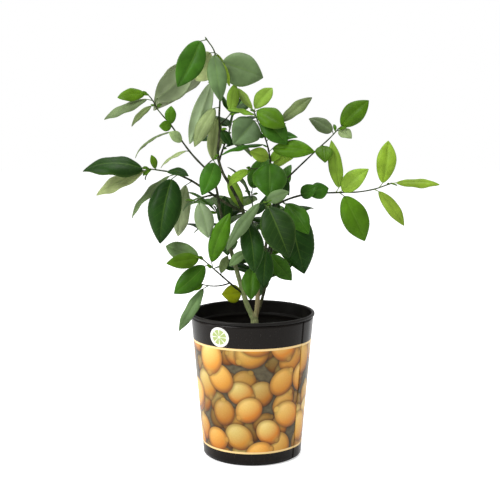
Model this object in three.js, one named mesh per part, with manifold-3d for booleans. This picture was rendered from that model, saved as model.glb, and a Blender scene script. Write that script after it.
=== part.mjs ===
// A young lemon tree in its nursery pot.
// Millimetres. X is to the right, Y goes back, Z is up. The origin is the middle of the pot's underside.
import * as THREE from 'three';
import { mergeVertices } from 'three/addons/utils/BufferGeometryUtils.js';
import Module from 'manifold-3d';

const wasm = await Module();
wasm.setup();

// Pot: a tapered shell with a rolled lip
const POT_HEIGHT = 193.5;
const LIP_RADIUS = 83.5;
const LIP_DROP = 4.2;
const WALL_TOP_RADIUS = 81;
const WALL_FOOT_RADIUS = 64.8;
const WALL = 1.7;
const FLOOR = 3.2;
const FOOT_CHAMFER = 2;
const RIDGE_DEPTH = 19;
const RIDGE_REACH = 1.4;
const DRAIN_COUNT = 6;
const DRAIN_RADIUS = 6;
const DRAIN_CIRCLE = 49;
const DRAIN_SIDES = 12;
const ROUND_STEPS = 36;
const LIP_LOW_ROUND = { in: 0.6, up: 0.4, side: 1.6 };
const LIP_TOP_ROUND = { in: 0.8, down: 0.5, top: 2 };
const LIP_INNER_ROUND = { out: 0.8, down: 0.6, side: 2.4 };
const RIDGE_SLOPE = 1.2;
const RIDGE_FLAT = 2;

// Printed wrap round the pot, with its end lapped over
const GAP = 0.3;
const WRAP_THICK = 0.7;
const WRAP_FOOT = 2;
const WRAP_TOP = POT_HEIGHT - LIP_DROP - 0.5;
const LAP_WIDTH = 14;
const LAP_ANGLE = -31;
const LAP_STEPS = 6;

// Potting soil
const SOIL_TOP = 158;
const SOIL_CLEAR_TOP = SOIL_TOP + GAP;
const SOIL_FOOT_IN = 0.9;
const SOIL_EDGE_RISE = 3;
// Radius and height over SOIL_TOP, from near the wall to the middle
const SOIL_DISH = [[72.5, 2.4], [48, -0.6], [30, -1.2], [16, 0], [0, 0]];

// Stems and leaves
const LIMB_SIDES = 6;
const TRUNK_SIDES = 10;
const TWIG_SIDES = 4;
const PETIOLE_SIDES = 3;
const LIMB_STEPS = 9;
const TWIG_STEPS = 7;
const PETIOLE_SHARE = 0.12;
const BLADE_SHARE = 0.93;
const PETIOLE_RADIUS = 0.8;
const PETIOLE_TAPER = 0.45;
const PETIOLE_FORWARD = 0.8;
const PETIOLE_SUNK = 0.2;
const LEAF_THICK_SHARE = 0.02;
const LEAF_STATIONS = [0.12, 0.36, 0.62, 0.86];
const LEAF_CLEAR = 0.45;
const BLADE_EDGE_THICK = 0.6;
const LEAF_DROOP = 28;
const LEAF_FULLNESS = 1.12;
const LEAF_FOLD = [6, 20];
const LEAF_ROLL = 44;
const LEAF_ROLL_FROM = 0.3;
const MIDRIB_STEPS = 12;
// How far back a blade is widest, and how sharp its foot and its tip are
const OUTLINE_FULLEST = 0.9;
const OUTLINE_POWER = [0.6, 0.85];

// Leaves that are dealt round a hidden twig: a first value and what a draw may add to it
const TURN_PER_LEAF = 137.5;
const DEALT_TURN = 40;
const DEALT_FROM = 0.24;
const DEALT_FORWARD = 0.7;
const DEALT_END_FORWARD = 2;
const DEALT_SINK = 0.5;
const DEALT_LENGTH = [46, 28];
const DEALT_WIDTH = [0.4, 0.12];
const DEALT_FACE = 8;
const SEED_FIRST = 11;
const SEED_STEP = 97;
const ROOT_FLARE = 3.2;
const ROOT_FLARE_SHARE = 0.16;
const FLARE_REACH = 30;
const FLARE_DEPTH = 20;
const ROOT_LOBES = 5;
const ROOT_LOBE_SHARE = 0.35;
const TRUNK_FOOT_X = 3;

// Directions: lean turns in the front view, 0 to the right and 90 straight up. Towards is the
// angle out of that plane to the front. A list of either is spread evenly along the limb.
const LIMBS = {
  trunk: { lean: [88, 91], towards: 0, length: 22, radii: [5.9, 5.2] },
  left_stem: {
    on: 'trunk', at: 1, lean: [119, 107, 105, 106, 104, 99, 118], towards: [8, 7, 6, 4, 3],
    length: 210, radii: [3.9, 1.4],
  },
  centre_stem: {
    on: 'trunk', at: 1, lean: [76, 93, 98, 102, 110], towards: [4, -4, -6], length: 155, radii: [3.4, 2.4],
  },
  right_stem: {
    on: 'trunk', at: 1, lean: [67, 74, 80, 83, 86, 80], towards: [-14, -10, 0, 4],
    length: 160, radii: [2.3, 1.5],
  },
  inner_stem: {
    on: 'centre_stem', at: 0.34, lean: [70, 84, 86], towards: [-14, -4, 6], length: 124, radii: [2.2, 1.7],
  },
  leader: {
    on: 'centre_stem', at: 1, lean: [115, 119, 121, 104, 83, 85], towards: [2, -4, 0],
    length: 110, radii: [2.3, 1.7],
  },
  left_bough: {
    on: 'centre_stem', at: 0.96, lean: [158, 147, 145, 146], towards: [4, 12, 14],
    length: 80, radii: [2.0, 1.5],
  },
};

// Foliage masses. Each has one stem, or a stem and side twigs, that starts on a limb.
// A leaf that shows in front is a row: place along its twig, lean, towards, length, face, width
// share and droop. Face turns the upper side: 0 looks up, 90 at the viewer, negative shows the
// underside. A twig with a number in place of rows gets that many leaves, dealt round it in turn.
const DEEP = 0x2f5a2c;
const MIDDLE = 0x4c7f33;
const YOUNG = 0x83aa3a;
const GREYED = 0x5f7f5e;

const MASSES = {
  foliage_top: {
    on: 'leader', at: 1, colour: DEEP,
    twigs: [
      {
        lean: [94, 92, 82, 96, 96, 97, 110, 138], towards: [0, 0, 2, 4, 6], length: 121,
        leaves: [
          [0.83, 293, -18, 50, 0, 0.3], [0.69, 341, -4, 62, 70, 0.74],
          [0.78, 223, -30, 127, -40, 0.36], [0.24, 242, 10, 62, 60, 0.34],
          [0.16, 262, -15, 65, 60, 0.3], [0, 300, 5, 26, 60, 0.5], [0.77, 294, 15, 42, 30, 0.22],
          [0.99, 243, 8, 72, 80, 0.46], [0.81, 279, 26, 71, 30, 0.34], [0.53, 250, 6, 92, -60, 0.25],
          [0.83, 239, -20, 48, 50, 0.78],
        ],
      },
      {
        at: 0.05, lean: [40, 50], towards: [-12, -6], length: 19,
        leaves: [
          [0.9, 30, -40, 40, 20, 0.4], [1, 82, 8, 40, 50, 0.4],
        ],
      },
    ],
  },
  foliage_upper_left: {
    on: 'left_stem', at: 1, colour: GREYED,
    twigs: [
      {
        lean: [138, 134, 127, 124, 133, 129], towards: [-4, -14, -16, -16], length: 116,
        leaves: [
          [1, 40, -10, 68, -70, 0.54], [1, 226, 20, 41, 40, 0.24], [0.45, 142, 20, 23, 60, 0.6],
          [0.67, 176, 10, 17, 70, 0.8], [0.6, 214, 6, 63, 0, 0.16, 50], [0.33, 212, 0, 43, 20, 0.22],
          [0.69, 89, 0, 25, 60, 0.56],
        ],
      },
      {
        at: 0.96, lean: [112, 135], towards: [-14, -16], length: 22,
        leaves: [
          [1, 187, 8, 39, 70, 0.44], [0.55, 203, -8, 70, 40, 0.26],
        ],
      },
      {
        at: 0.08, lean: [50, 36], towards: [-10, -10], length: 15,
        leaves: [
          [1, 247, 20, 50, 80, 0.52],
        ],
      },
    ],
  },
  foliage_left: {
    on: 'left_bough', at: 1, colour: DEEP,
    twigs: [
      {
        lean: [150, 156, 170, 172], towards: [20, 18, 14], length: 59,
        leaves: [
          [1, 180, 10, 86, 34, 0.5, 66], [0.98, 206, -10, 80, 50, 0.28], [0.86, 104, 10, 20, 50, 0.42],
          [0.62, 352, 26, 34, 40, 0.4], [0.97, 240, -40, 22, 40, 0.5], [0, 259, -24, 88, 50, 0.26],
          [0.4, 226, -14, 86, 30, 0.2], [0.37, 260, 14, 92, 80, 0.46],
        ],
      },
    ],
  },
  foliage_mid_left: {
    on: 'left_stem', at: 0.85, colour: GREYED,
    twigs: [
      {
        lean: [176, 196, 215], towards: [14, 10, 0], length: 31,
        leaves: [
          [0.14, 208, -14, 48, 0, 0.2, 50], [0.73, 286, 20, 52, 75, 0.47],
        ],
      },
    ],
  },
  foliage_low_left: {
    on: 'left_stem', at: 0.19, colour: MIDDLE,
    twigs: [
      {
        lean: [138, 135, 136], towards: [24, 22, 18], length: 80,
        leaves: [
          [0.76, 70, 12, 76, 60, 0.32], [0.55, 69, -24, 28, 40, 0.4], [1, 165, -24, 54, 70, 0.42],
          [0.83, 221, 14, 58, 80, 0.48], [1, 186, 22, 47, 70, 0.42], [0.01, 179, 20, 29, 80, 0.8],
        ],
      },
      {
        at: 0.34, lean: [200, 180, 162], towards: [20, 16, 12], length: 38,
        leaves: [
          [0.78, 239, 10, 69, 40, 0.24],
        ],
      },
    ],
  },
  foliage_centre_top: {
    on: 'inner_stem', at: 1, colour: YOUNG,
    twigs: [
      {
        lean: [90, 90, 95, 102, 110, 118, 106], towards: [2, 0, 4, 4], length: 108,
        leaves: [
          [1, 130, -10, 40, -30, 0.44], [1, 50, -16, 40, 60, 0.5], [0.9, 316, 12, 52, 80, 0.56],
          [0.94, 168, 20, 40, 30, 0.34], [0.88, 228, 32, 50, 85, 0.76], [0.54, 192, 10, 62, 10, 0.24],
          [0.48, 357, 20, 62, 70, 0.38], [0.38, 160, 18, 30, 80, 0.6], [0.34, 46, -26, 24, 60, 0.5],
          [0.26, 30, -20, 48, 60, 0.3], [0.34, 269, 40, 59, 85, 0.74], [1, 329, 20, 47, 60, 0.62],
          [0.61, 5, 15, 42, 50, 0.36], [0.66, 155, 30, 17, 50, 0.6], [0.27, 300, 16, 43, 80, 0.46],
        ],
      },
      {
        at: 0.68, lean: [36, 44], towards: [-16, -8], length: 22,
        leaves: [
          [1, 39, -16, 60, 40, 0.3],
        ],
      },
      {
        at: 0.26, lean: [172, 180], towards: [10, 20], length: 27,
        leaves: [
          [1, 218, 20, 38, 30, 0.44],
        ],
      },
    ],
  },
  foliage_upper_right: {
    on: 'inner_stem', at: 0.94, colour: MIDDLE,
    twigs: [
      {
        lean: [52, 44, 43, 42, 42, 40, 50], towards: [-18, -20, -20, -10], length: 134,
        leaves: [
          [0.76, 270, 50, 34, 60, 0.66], [0.93, 151, -4, 39, 50, 0.6], [1, 44, 8, 54, 80, 0.52],
          [0.98, 329, 30, 24, 60, 0.66],
        ],
      },
    ],
  },
  foliage_right: {
    on: 'right_stem', at: 1, colour: YOUNG,
    twigs: [
      {
        lean: [30, 16, 11, 1, 1, 0, 8, 13, 26], towards: [-6, -10, -8, -4], length: 160,
        leaves: [
          [0.05, 307, 30, 58, 75, 0.46], [0.05, 283, 10, 99, 70, 0.5], [0.2, 34, 30, 30, 70, 0.62],
          [0.52, 99, -8, 70, 50, 0.26], [0.54, 42, 14, 50, 70, 0.48], [0.55, 295, 6, 72, 80, 0.48],
          [0.85, 307, 10, 62, 70, 0.28], [1, 359, 0, 64, 40, 0.26], [0.27, 16, -10, 30, 60, 0.8],
          [0.9, 82, -10, 63, 70, 0.4],
        ],
      },
    ],
  },
  foliage_front: {
    on: 'inner_stem', at: 0.22, colour: DEEP,
    twigs: [
      {
        lean: [60, 80, 98, 100], towards: [58, 50, 30, 10], length: 116,
        leaves: [
          [0.97, 293, 20, 75, 85, 0.54], [0.25, 311, 10, 47, 70, 0.5], [1, 23, 10, 33, 60, 0.5],
          [1, 234, 15, 78, 40, 0.22],
        ],
      },
    ],
  },
  foliage_front_low: {
    on: 'centre_stem', at: 0.42, colour: DEEP,
    twigs: [
      {
        lean: [108, 104, 96, 92], towards: [62, 46, 24, 10], length: 100,
        leaves: [
          [1, 278, 20, 71, 85, 0.4], [0.24, 267, 30, 48, 70, 0.5], [0.54, 220, 0, 32, 70, 0.4],
        ],
      },
      {
        at: 0.35, lean: [40, 62], towards: [30, 10], length: 26,
        leaves: [
          [1, 266, 10, 52, 80, 0.44],
        ],
      },
    ],
  },
  foliage_back_left: {
    on: 'left_stem', at: 0.44, colour: DEEP,
    twigs: [
      { lean: [110, 116, 112], towards: [-58, -52, -36], length: 100, leaves: 8 },
    ],
  },
  foliage_back: {
    on: 'centre_stem', at: 0.66, colour: MIDDLE,
    twigs: [
      { lean: [84, 90, 94], towards: [-54, -52, -36], length: 98, leaves: 9 },
      {
        at: 0.62, lean: [150, 160], towards: [-6, 0], length: 14,
        leaves: [
          [0.88, 112, -6, 52, 60, 0.32], [1, 161, -10, 47, 60, 0.4],
        ],
      },
    ],
  },
  foliage_back_right: {
    on: 'right_stem', at: 0.57, colour: DEEP,
    twigs: [
      { lean: [82, 86, 90], towards: [-54, -50, -32], length: 98, leaves: 9 },
    ],
  },
  foliage_back_low: {
    on: 'right_stem', at: 0.27, colour: DEEP,
    twigs: [
      { lean: [100, 104], towards: [-64, -50], length: 80, leaves: 7 },
    ],
  },
  foliage_back_top: {
    on: 'leader', at: 0.62, colour: MIDDLE,
    twigs: [
      { lean: [74, 70, 84], towards: [-50, -48, -26], length: 96, leaves: 8 },
    ],
  },
};
const TWIG_RADII = [1.5, 0.8];
const SIDE_TWIG_RADII = [1.1, 0.7];

const radians = THREE.MathUtils.degToRad;
const lerp = THREE.MathUtils.lerp;

// Even draws between 0 and 1 from one whole number
function draws(seed) {
  let state = seed >>> 0;
  return () => {
    state = (state + 0x6d2b79f5) >>> 0;
    let t = state;
    t = Math.imul(t ^ (t >>> 15), t | 1);
    t ^= t + Math.imul(t ^ (t >>> 7), t | 61);
    return ((t ^ (t >>> 14)) >>> 0) / 4294967296;
  };
}

function heading(lean, towards) {
  const a = radians(lean);
  const b = radians(towards);
  return new THREE.Vector3(Math.cos(a) * Math.cos(b), -Math.sin(b), Math.sin(a) * Math.cos(b));
}

// Value at share t of a list whose values are spread evenly
function along(values, t) {
  if (!Array.isArray(values)) return values;
  const x = THREE.MathUtils.clamp(t, 0, 1) * (values.length - 1);
  const i = Math.min(Math.floor(x), values.length - 2);
  return lerp(values[i], values[i + 1], x - i);
}

function grow(start, limb, steps) {
  const points = [start.clone()];
  for (let i = 0; i < steps; i += 1) {
    const t = (i + 0.5) / steps;
    const step = heading(along(limb.lean, t), along(limb.towards, t)).multiplyScalar(limb.length / steps);
    points.push(points[i].clone().add(step));
  }
  return points;
}

function pointAt(points, t) {
  const x = THREE.MathUtils.clamp(t, 0, 1) * (points.length - 1);
  const i = Math.min(Math.floor(x), points.length - 2);
  return points[i].clone().lerp(points[i + 1], x - i);
}

function wayAt(points, t) {
  const x = THREE.MathUtils.clamp(t, 0, 1) * (points.length - 1);
  const i = Math.min(Math.floor(x), points.length - 2);
  return points[i + 1].clone().sub(points[i]).normalize();
}

// A closed solid from rings of equal count, with a point or a flat cap at each end
function loft(rings) {
  const count = rings[0].length;
  const position = [];
  rings.forEach((ring) => ring.forEach((p) => position.push(p.x, p.y, p.z)));
  const index = [];
  for (let r = 0; r < rings.length - 1; r += 1) {
    for (let s = 0; s < count; s += 1) {
      const a = r * count + s;
      const b = r * count + ((s + 1) % count);
      index.push(a, b, b + count, a, b + count, a + count);
    }
  }
  [0, rings.length - 1].forEach((r) => {
    const middle = new THREE.Vector3();
    rings[r].forEach((p) => middle.addScaledVector(p, 1 / count));
    const m = position.length / 3;
    position.push(middle.x, middle.y, middle.z);
    for (let s = 0; s < count; s += 1) {
      const a = r * count + s;
      const b = r * count + ((s + 1) % count);
      if (r === 0) index.push(m, b, a);
      else index.push(m, a, b);
    }
  });
  const geometry = new THREE.BufferGeometry();
  geometry.setAttribute('position', new THREE.Float32BufferAttribute(position, 3));
  geometry.setIndex(index);
  return geometry;
}

// A round rod along a path: radius is a function of the share along it and of the angle round it
function rod(points, sides, radius, extend = 0) {
  const path = points.map((p) => p.clone());
  const last = path.length - 1;
  path[0].addScaledVector(wayAt(points, 0), -extend);
  path[last].addScaledVector(wayAt(points, 1), extend);
  let across = new THREE.Vector3(0, 1, 0);
  const rings = path.map((p, i) => {
    const way = path[Math.min(i + 1, last)].clone().sub(path[Math.max(i - 1, 0)]).normalize();
    across.addScaledVector(way, -across.dot(way)).normalize();
    const other = way.clone().cross(across);
    const ring = [];
    for (let s = 0; s < sides; s += 1) {
      const a = (2 * Math.PI * s) / sides;
      const r = radius(i / last, a);
      ring.push(p.clone().addScaledVector(across, r * Math.cos(a)).addScaledVector(other, r * Math.sin(a)));
    }
    return ring;
  });
  return loft(rings);
}

function toSolid(geometry) {
  geometry.deleteAttribute('normal');
  geometry.deleteAttribute('uv');
  const merged = mergeVertices(geometry, 1e-4);
  return new wasm.Manifold(new wasm.Mesh({
    numProp: 3,
    vertProperties: new Float32Array(merged.attributes.position.array),
    triVerts: new Uint32Array(merged.index.array),
  }));
}

function join(solids) {
  return solids.reduce((all, one) => all.add(one));
}

function largest(solid) {
  const parts = solid.decompose();
  return parts.reduce((best, one) => (one.volume() > best.volume() ? one : best));
}

function touches(a, b) {
  const p = a.boundingBox();
  const q = b.boundingBox();
  for (let k = 0; k < 3; k += 1) {
    if (p.min[k] > q.max[k] || q.min[k] > p.max[k]) return false;
  }
  return a.intersect(b).volume() > 0;
}

const group = new THREE.Group();
group.name = 'potted_lemon_tree';

function addNode(name, solid, colour, roughness, metalness = 0) {
  const mesh = solid.getMesh();
  const geometry = new THREE.BufferGeometry();
  geometry.setAttribute('position', new THREE.BufferAttribute(new Float32Array(mesh.vertProperties), 3));
  geometry.setIndex(new THREE.BufferAttribute(new Uint32Array(mesh.triVerts), 1));
  geometry.computeVertexNormals();
  const material = new THREE.MeshStandardMaterial({ color: colour, roughness, metalness });
  const node = new THREE.Mesh(geometry, material);
  node.name = name;
  group.add(node);
}

// Turns a closed outline of radius and height round the upright axis
function turned(profile) {
  const lathe = new THREE.LatheGeometry(profile.map(([r, z]) => new THREE.Vector2(r, z)), ROUND_STEPS);
  lathe.rotateX(Math.PI / 2);
  return toSolid(lathe);
}

function wallRadius(z) {
  return lerp(WALL_FOOT_RADIUS, WALL_TOP_RADIUS, z / (POT_HEIGHT - LIP_DROP));
}

function makePot() {
  const inner = (z) => wallRadius(z) - WALL;
  const under = POT_HEIGHT - LIP_DROP;
  const ridge = POT_HEIGHT - RIDGE_DEPTH;
  const ridgeFoot = ridge - RIDGE_FLAT;
  const shell = turned([
    [0, 0],
    [WALL_FOOT_RADIUS - FOOT_CHAMFER, 0],
    [wallRadius(FOOT_CHAMFER), FOOT_CHAMFER],
    [wallRadius(under), under],
    [LIP_RADIUS - LIP_LOW_ROUND.in, under + LIP_LOW_ROUND.up],
    [LIP_RADIUS, under + LIP_LOW_ROUND.side],
    [LIP_RADIUS, POT_HEIGHT - LIP_TOP_ROUND.top],
    [LIP_RADIUS - LIP_TOP_ROUND.in, POT_HEIGHT - LIP_TOP_ROUND.down],
    [LIP_RADIUS - LIP_TOP_ROUND.top, POT_HEIGHT],
    [inner(under) + LIP_INNER_ROUND.out, POT_HEIGHT - LIP_INNER_ROUND.down],
    [inner(under), POT_HEIGHT - LIP_INNER_ROUND.side],
    [inner(ridge + RIDGE_SLOPE), ridge + RIDGE_SLOPE],
    [inner(ridge) - RIDGE_REACH, ridge],
    [inner(ridgeFoot) - RIDGE_REACH, ridgeFoot],
    [inner(ridgeFoot - RIDGE_SLOPE), ridgeFoot - RIDGE_SLOPE],
    [inner(FLOOR), FLOOR],
    [0, FLOOR],
  ]);
  const drains = [];
  for (let i = 0; i < DRAIN_COUNT; i += 1) {
    const a = (2 * Math.PI * i) / DRAIN_COUNT;
    const drain = new THREE.CylinderGeometry(DRAIN_RADIUS, DRAIN_RADIUS, 4 * FLOOR, DRAIN_SIDES);
    drain.rotateX(Math.PI / 2);
    drain.translate(DRAIN_CIRCLE * Math.cos(a), DRAIN_CIRCLE * Math.sin(a), 0);
    drains.push(toSolid(drain));
  }
  return shell.subtract(join(drains));
}

function makeWrap() {
  const face = (z, out) => [wallRadius(z) + GAP + out, z];
  const sheet = turned([
    face(WRAP_FOOT, 0),
    face(WRAP_FOOT, WRAP_THICK),
    face(WRAP_TOP, WRAP_THICK),
    face(WRAP_TOP, 0),
    face(WRAP_FOOT, 0),
  ]);
  const half = LAP_WIDTH / 2 / WALL_TOP_RADIUS;
  const rings = [];
  for (let i = 0; i <= LAP_STEPS; i += 1) {
    const a = radians(LAP_ANGLE) + lerp(-half, half, i / LAP_STEPS);
    const corner = ([r, z]) => new THREE.Vector3(r * Math.cos(a), r * Math.sin(a), z);
    rings.push([
      corner(face(WRAP_FOOT, WRAP_THICK / 2)),
      corner(face(WRAP_FOOT, 2 * WRAP_THICK)),
      corner(face(WRAP_TOP, 2 * WRAP_THICK)),
      corner(face(WRAP_TOP, WRAP_THICK / 2)),
    ].reverse());
  }
  return sheet.add(toSolid(loft(rings)));
}

function makeSoil() {
  const edge = (z) => wallRadius(z) - WALL - GAP;
  return turned([
    [0, FLOOR + GAP],
    [edge(FLOOR) - SOIL_FOOT_IN, FLOOR + GAP],
    [edge(SOIL_TOP + SOIL_EDGE_RISE), SOIL_TOP + SOIL_EDGE_RISE],
    ...SOIL_DISH.map(([r, rise]) => [r, SOIL_TOP + rise]),
  ]);
}

function limbRadius(name) {
  const [base, tip] = LIMBS[name].radii;
  if (name !== 'trunk') return (t) => lerp(base, tip, t);
  return (t, a) => {
    const flare = Math.exp(-t / ROOT_FLARE_SHARE);
    return lerp(base, tip, t) + ROOT_FLARE * flare * (1 + ROOT_LOBE_SHARE * Math.cos(ROOT_LOBES * a));
  };
}

// Half the width of a blade at share t of its length, as a share of the full half width
function outline(t) {
  return t <= 0 || t >= 1 ? 0 : Math.sin(Math.PI * t ** OUTLINE_FULLEST) ** lerp(...OUTLINE_POWER, t);
}

// The midrib of a leaf and the two directions across it
function leafFrame(base, aim, face, length, droop) {
  const up = new THREE.Vector3(0, -Math.sin(radians(face)), Math.cos(radians(face)));
  const normal = up.addScaledVector(aim, -up.dot(aim)).normalize();
  const side = normal.clone().cross(aim);
  const midrib = [base.clone()];
  for (let i = 0; i < MIDRIB_STEPS; i += 1) {
    const a = radians(droop) * (0.5 - (i + 0.5) / MIDRIB_STEPS);
    const step = aim.clone().multiplyScalar(Math.cos(a)).addScaledVector(normal, Math.sin(a));
    midrib.push(midrib[i].clone().addScaledVector(step, length / MIDRIB_STEPS));
  }
  return { midrib, normal, side };
}

// A thin closed blade with four sides, made larger all round by extra
function blade(leaf, extra) {
  const { midrib, side, normal } = leaf.frame;
  const thick = leaf.length * LEAF_THICK_SHARE / 2;
  const rings = LEAF_STATIONS.map((t) => {
    const middle = pointAt(midrib, t);
    const half = leaf.half * outline(t) + extra;
    const roll = leaf.roll * (t - LEAF_ROLL_FROM);
    const across = side.clone().multiplyScalar(Math.cos(roll)).addScaledVector(normal, Math.sin(roll));
    const up = normal.clone().multiplyScalar(Math.cos(roll)).addScaledVector(side, -Math.sin(roll));
    const rise = half * Math.sin(leaf.fold);
    const reach = half * Math.cos(leaf.fold);
    const deep = thick * lerp(BLADE_EDGE_THICK, 1, Math.sin(Math.PI * t)) + extra;
    return [
      middle.clone().addScaledVector(across, reach).addScaledVector(up, rise),
      middle.clone().addScaledVector(up, deep),
      middle.clone().addScaledVector(across, -reach).addScaledVector(up, rise),
      middle.clone().addScaledVector(up, -deep),
    ];
  });
  const count = rings[0].length;
  const first = Array(count).fill(pointAt(midrib, 0));
  const last = Array(count).fill(pointAt(midrib, 1));
  const position = [];
  [first[0], ...rings.flat(), last[0]].forEach((p) => position.push(p.x, p.y, p.z));
  const end = rings.length * count + 1;
  const index = [];
  for (let s = 0; s < count; s += 1) {
    const n = (s + 1) % count;
    index.push(0, 1 + n, 1 + s);
    for (let r = 0; r < rings.length - 1; r += 1) {
      const a = 1 + r * count + s;
      const b = 1 + r * count + n;
      // Both skins crease along the same lines, so that a twisted blade keeps its thickness
      if (s % 2) index.push(a, b, b + count, a, b + count, a + count);
      else index.push(a, b, a + count, b, b + count, a + count);
    }
    const tail = 1 + (rings.length - 1) * count;
    index.push(tail + s, tail + n, end);
  }
  const geometry = new THREE.BufferGeometry();
  geometry.setAttribute('position', new THREE.Float32BufferAttribute(position, 3));
  geometry.setIndex(index);
  return toSolid(geometry);
}

// Directions of leaves that are dealt round a twig in turn
function dealtLeaves(points, count, random) {
  const draw = ([from, more]) => from + more * random();
  const rows = [];
  for (let i = 0; i < count; i += 1) {
    const at = lerp(DEALT_FROM, 1, i / (count - 1));
    const way = wayAt(points, at);
    const turn = radians(TURN_PER_LEAF * i + DEALT_TURN * random());
    const across = way.clone().cross(new THREE.Vector3(0, 0, 1)).normalize();
    const other = across.clone().cross(way);
    const out = across.multiplyScalar(Math.cos(turn)).addScaledVector(other, Math.sin(turn));
    const forward = i === count - 1 ? DEALT_END_FORWARD : DEALT_FORWARD;
    const aim = way.multiplyScalar(forward).add(out).normalize();
    aim.z -= DEALT_SINK * random();
    aim.normalize();
    const length = draw(DEALT_LENGTH);
    const width = draw(DEALT_WIDTH);
    rows.push({ at, aim, length, face: DEALT_FACE, width, droop: LEAF_DROOP });
  }
  return rows;
}

function leafRow([at, lean, towards, length, face, width, droop = LEAF_DROOP]) {
  return { at, aim: heading(lean, towards), length, face, width, droop };
}

// Limbs
const paths = {};
const limbSolids = {};
const limbRooms = {};
Object.entries(LIMBS).forEach(([name, limb]) => {
  const soil = new THREE.Vector3(TRUNK_FOOT_X, 0, SOIL_CLEAR_TOP);
  const start = limb.on ? pointAt(paths[limb.on], limb.at) : soil;
  paths[name] = grow(start, limb, LIMB_STEPS);
  const sides = name === 'trunk' ? TRUNK_SIDES : LIMB_SIDES;
  const radius = limbRadius(name);
  const room = GAP / Math.cos(Math.PI / sides);
  let solid = toSolid(rod(paths[name], sides, radius));
  Object.values(limbRooms).forEach((other) => {
    if (touches(solid, other)) solid = largest(solid.subtract(other));
  });
  limbSolids[name] = solid;
  limbRooms[name] = toSolid(rod(paths[name], sides, (t, a) => radius(t, a) + room, GAP));
});
const belowSoil = new THREE.BoxGeometry(2 * FLARE_REACH, 2 * FLARE_REACH, FLARE_DEPTH);
belowSoil.translate(TRUNK_FOOT_X, 0, SOIL_CLEAR_TOP - FLARE_DEPTH / 2);
limbSolids.trunk = limbSolids.trunk.subtract(toSolid(belowSoil));

function makeLeaf(points, row, random, seen) {
  const root = pointAt(points, row.at);
  const rise = row.aim.clone().addScaledVector(wayAt(points, row.at), PETIOLE_FORWARD).normalize();
  const foot = root.clone().addScaledVector(rise, row.length * PETIOLE_SHARE);
  const length = row.length * BLADE_SHARE;
  const leaf = {
    length,
    half: (row.width * length * LEAF_FULLNESS) / 2,
    frame: leafFrame(foot, row.aim, row.face, length, row.droop),
    fold: radians(LEAF_FOLD[0] + LEAF_FOLD[1] * random()),
    roll: radians(LEAF_ROLL * (random() - 0.5)),
    seen,
  };
  const stalk = [root, foot, pointAt(leaf.frame.midrib, PETIOLE_SUNK)];
  const radius = (t) => PETIOLE_RADIUS * (1 - PETIOLE_TAPER * t);
  leaf.solid = blade(leaf, 0);
  leaf.room = blade(leaf, LEAF_CLEAR);
  leaf.stalk = toSolid(rod(stalk, PETIOLE_SIDES, radius));
  leaf.stalkRoom = toSolid(rod(stalk, PETIOLE_SIDES, (t) => radius(t) + 2 * GAP));
  return leaf;
}

// Twigs and leaves of every mass
const masses = Object.entries(MASSES).map(([name, mass], order) => {
  const random = draws(SEED_STEP * order + SEED_FIRST);
  const twigs = [];
  mass.twigs.forEach((twig, k) => {
    const start = k === 0 ? pointAt(paths[mass.on], mass.at) : pointAt(twigs[0].points, twig.at);
    const points = grow(start, twig, TWIG_STEPS);
    const [base, tip] = k === 0 ? TWIG_RADII : SIDE_TWIG_RADII;
    const radius = (t) => lerp(base, tip, t);
    const solid = toSolid(rod(points, TWIG_SIDES, radius));
    const clear = GAP / Math.cos(Math.PI / TWIG_SIDES);
    const room = toSolid(rod(points, TWIG_SIDES, (t) => radius(t) + clear, GAP));
    const seen = Array.isArray(twig.leaves);
    const rows = seen ? twig.leaves.map(leafRow) : dealtLeaves(points, twig.leaves, random);
    const leaves = rows.map((row) => makeLeaf(points, row, random, seen));
    twigs.push({ points, solid, room, leaves });
  });
  return { name, mass, twigs, order };
});

function meetsLeaf(leaf, other) {
  if (touches(leaf.room, other.solid)) return true;
  if (leaf.order === other.order) return false;
  return touches(leaf.stalkRoom, other.solid) || touches(leaf.room, other.stalk)
    || touches(leaf.stalkRoom, other.stalk);
}

// Leaves that show are placed first. A leaf that would touch a limb, another mass's twig or a
// leaf that is already there is left out.
const placed = [];
[true, false].forEach((seen) => {
  masses.forEach((own) => {
    const strange = masses.filter((other) => other !== own).flatMap((other) => other.twigs);
    own.twigs.flatMap((twig) => twig.leaves).filter((leaf) => leaf.seen === seen).forEach((leaf) => {
      leaf.order = own.order;
      const blocked = Object.values(limbSolids).some((limb) => touches(leaf.room, limb))
        || strange.some(({ solid }) => touches(leaf.room, solid) || touches(leaf.stalkRoom, solid))
        || placed.some((other) => meetsLeaf(leaf, other));
      if (!blocked) placed.push(leaf);
    });
  });
});

addNode('pot', makePot(), 0x17181a, 0.42);
addNode('pot_wrap', makeWrap(), 0xc9852c, 0.35);
addNode('soil', makeSoil(), 0x3a2c21, 0.95);
const BARK = {
  trunk: 0x8d8563, left_stem: 0x77824f, centre_stem: 0xa08f6b, right_stem: 0x4a4632,
  inner_stem: 0x66753f, leader: 0x5c6b3a, left_bough: 0x5f6d3d,
};
Object.entries(limbSolids).forEach(([name, solid]) => addNode(name, solid, BARK[name], 0.8));
const stemRooms = [];
masses.forEach(({ name, mass, twigs, order }) => {
  const solids = twigs.map((twig) => twig.solid);
  placed.filter((leaf) => leaf.order === order).forEach((leaf) => solids.push(leaf.stalk, leaf.solid));
  let solid = join(solids);
  [...Object.values(limbRooms), ...stemRooms].forEach((room) => {
    if (touches(solid, room)) solid = solid.subtract(room);
  });
  addNode(name, largest(solid), mass.colour, 0.5);
  twigs.forEach((twig) => stemRooms.push(twig.room));
});

export default group;
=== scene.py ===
import math

import bpy
import numpy as np
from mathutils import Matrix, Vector
from mathutils.bvhtree import BVHTree


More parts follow.
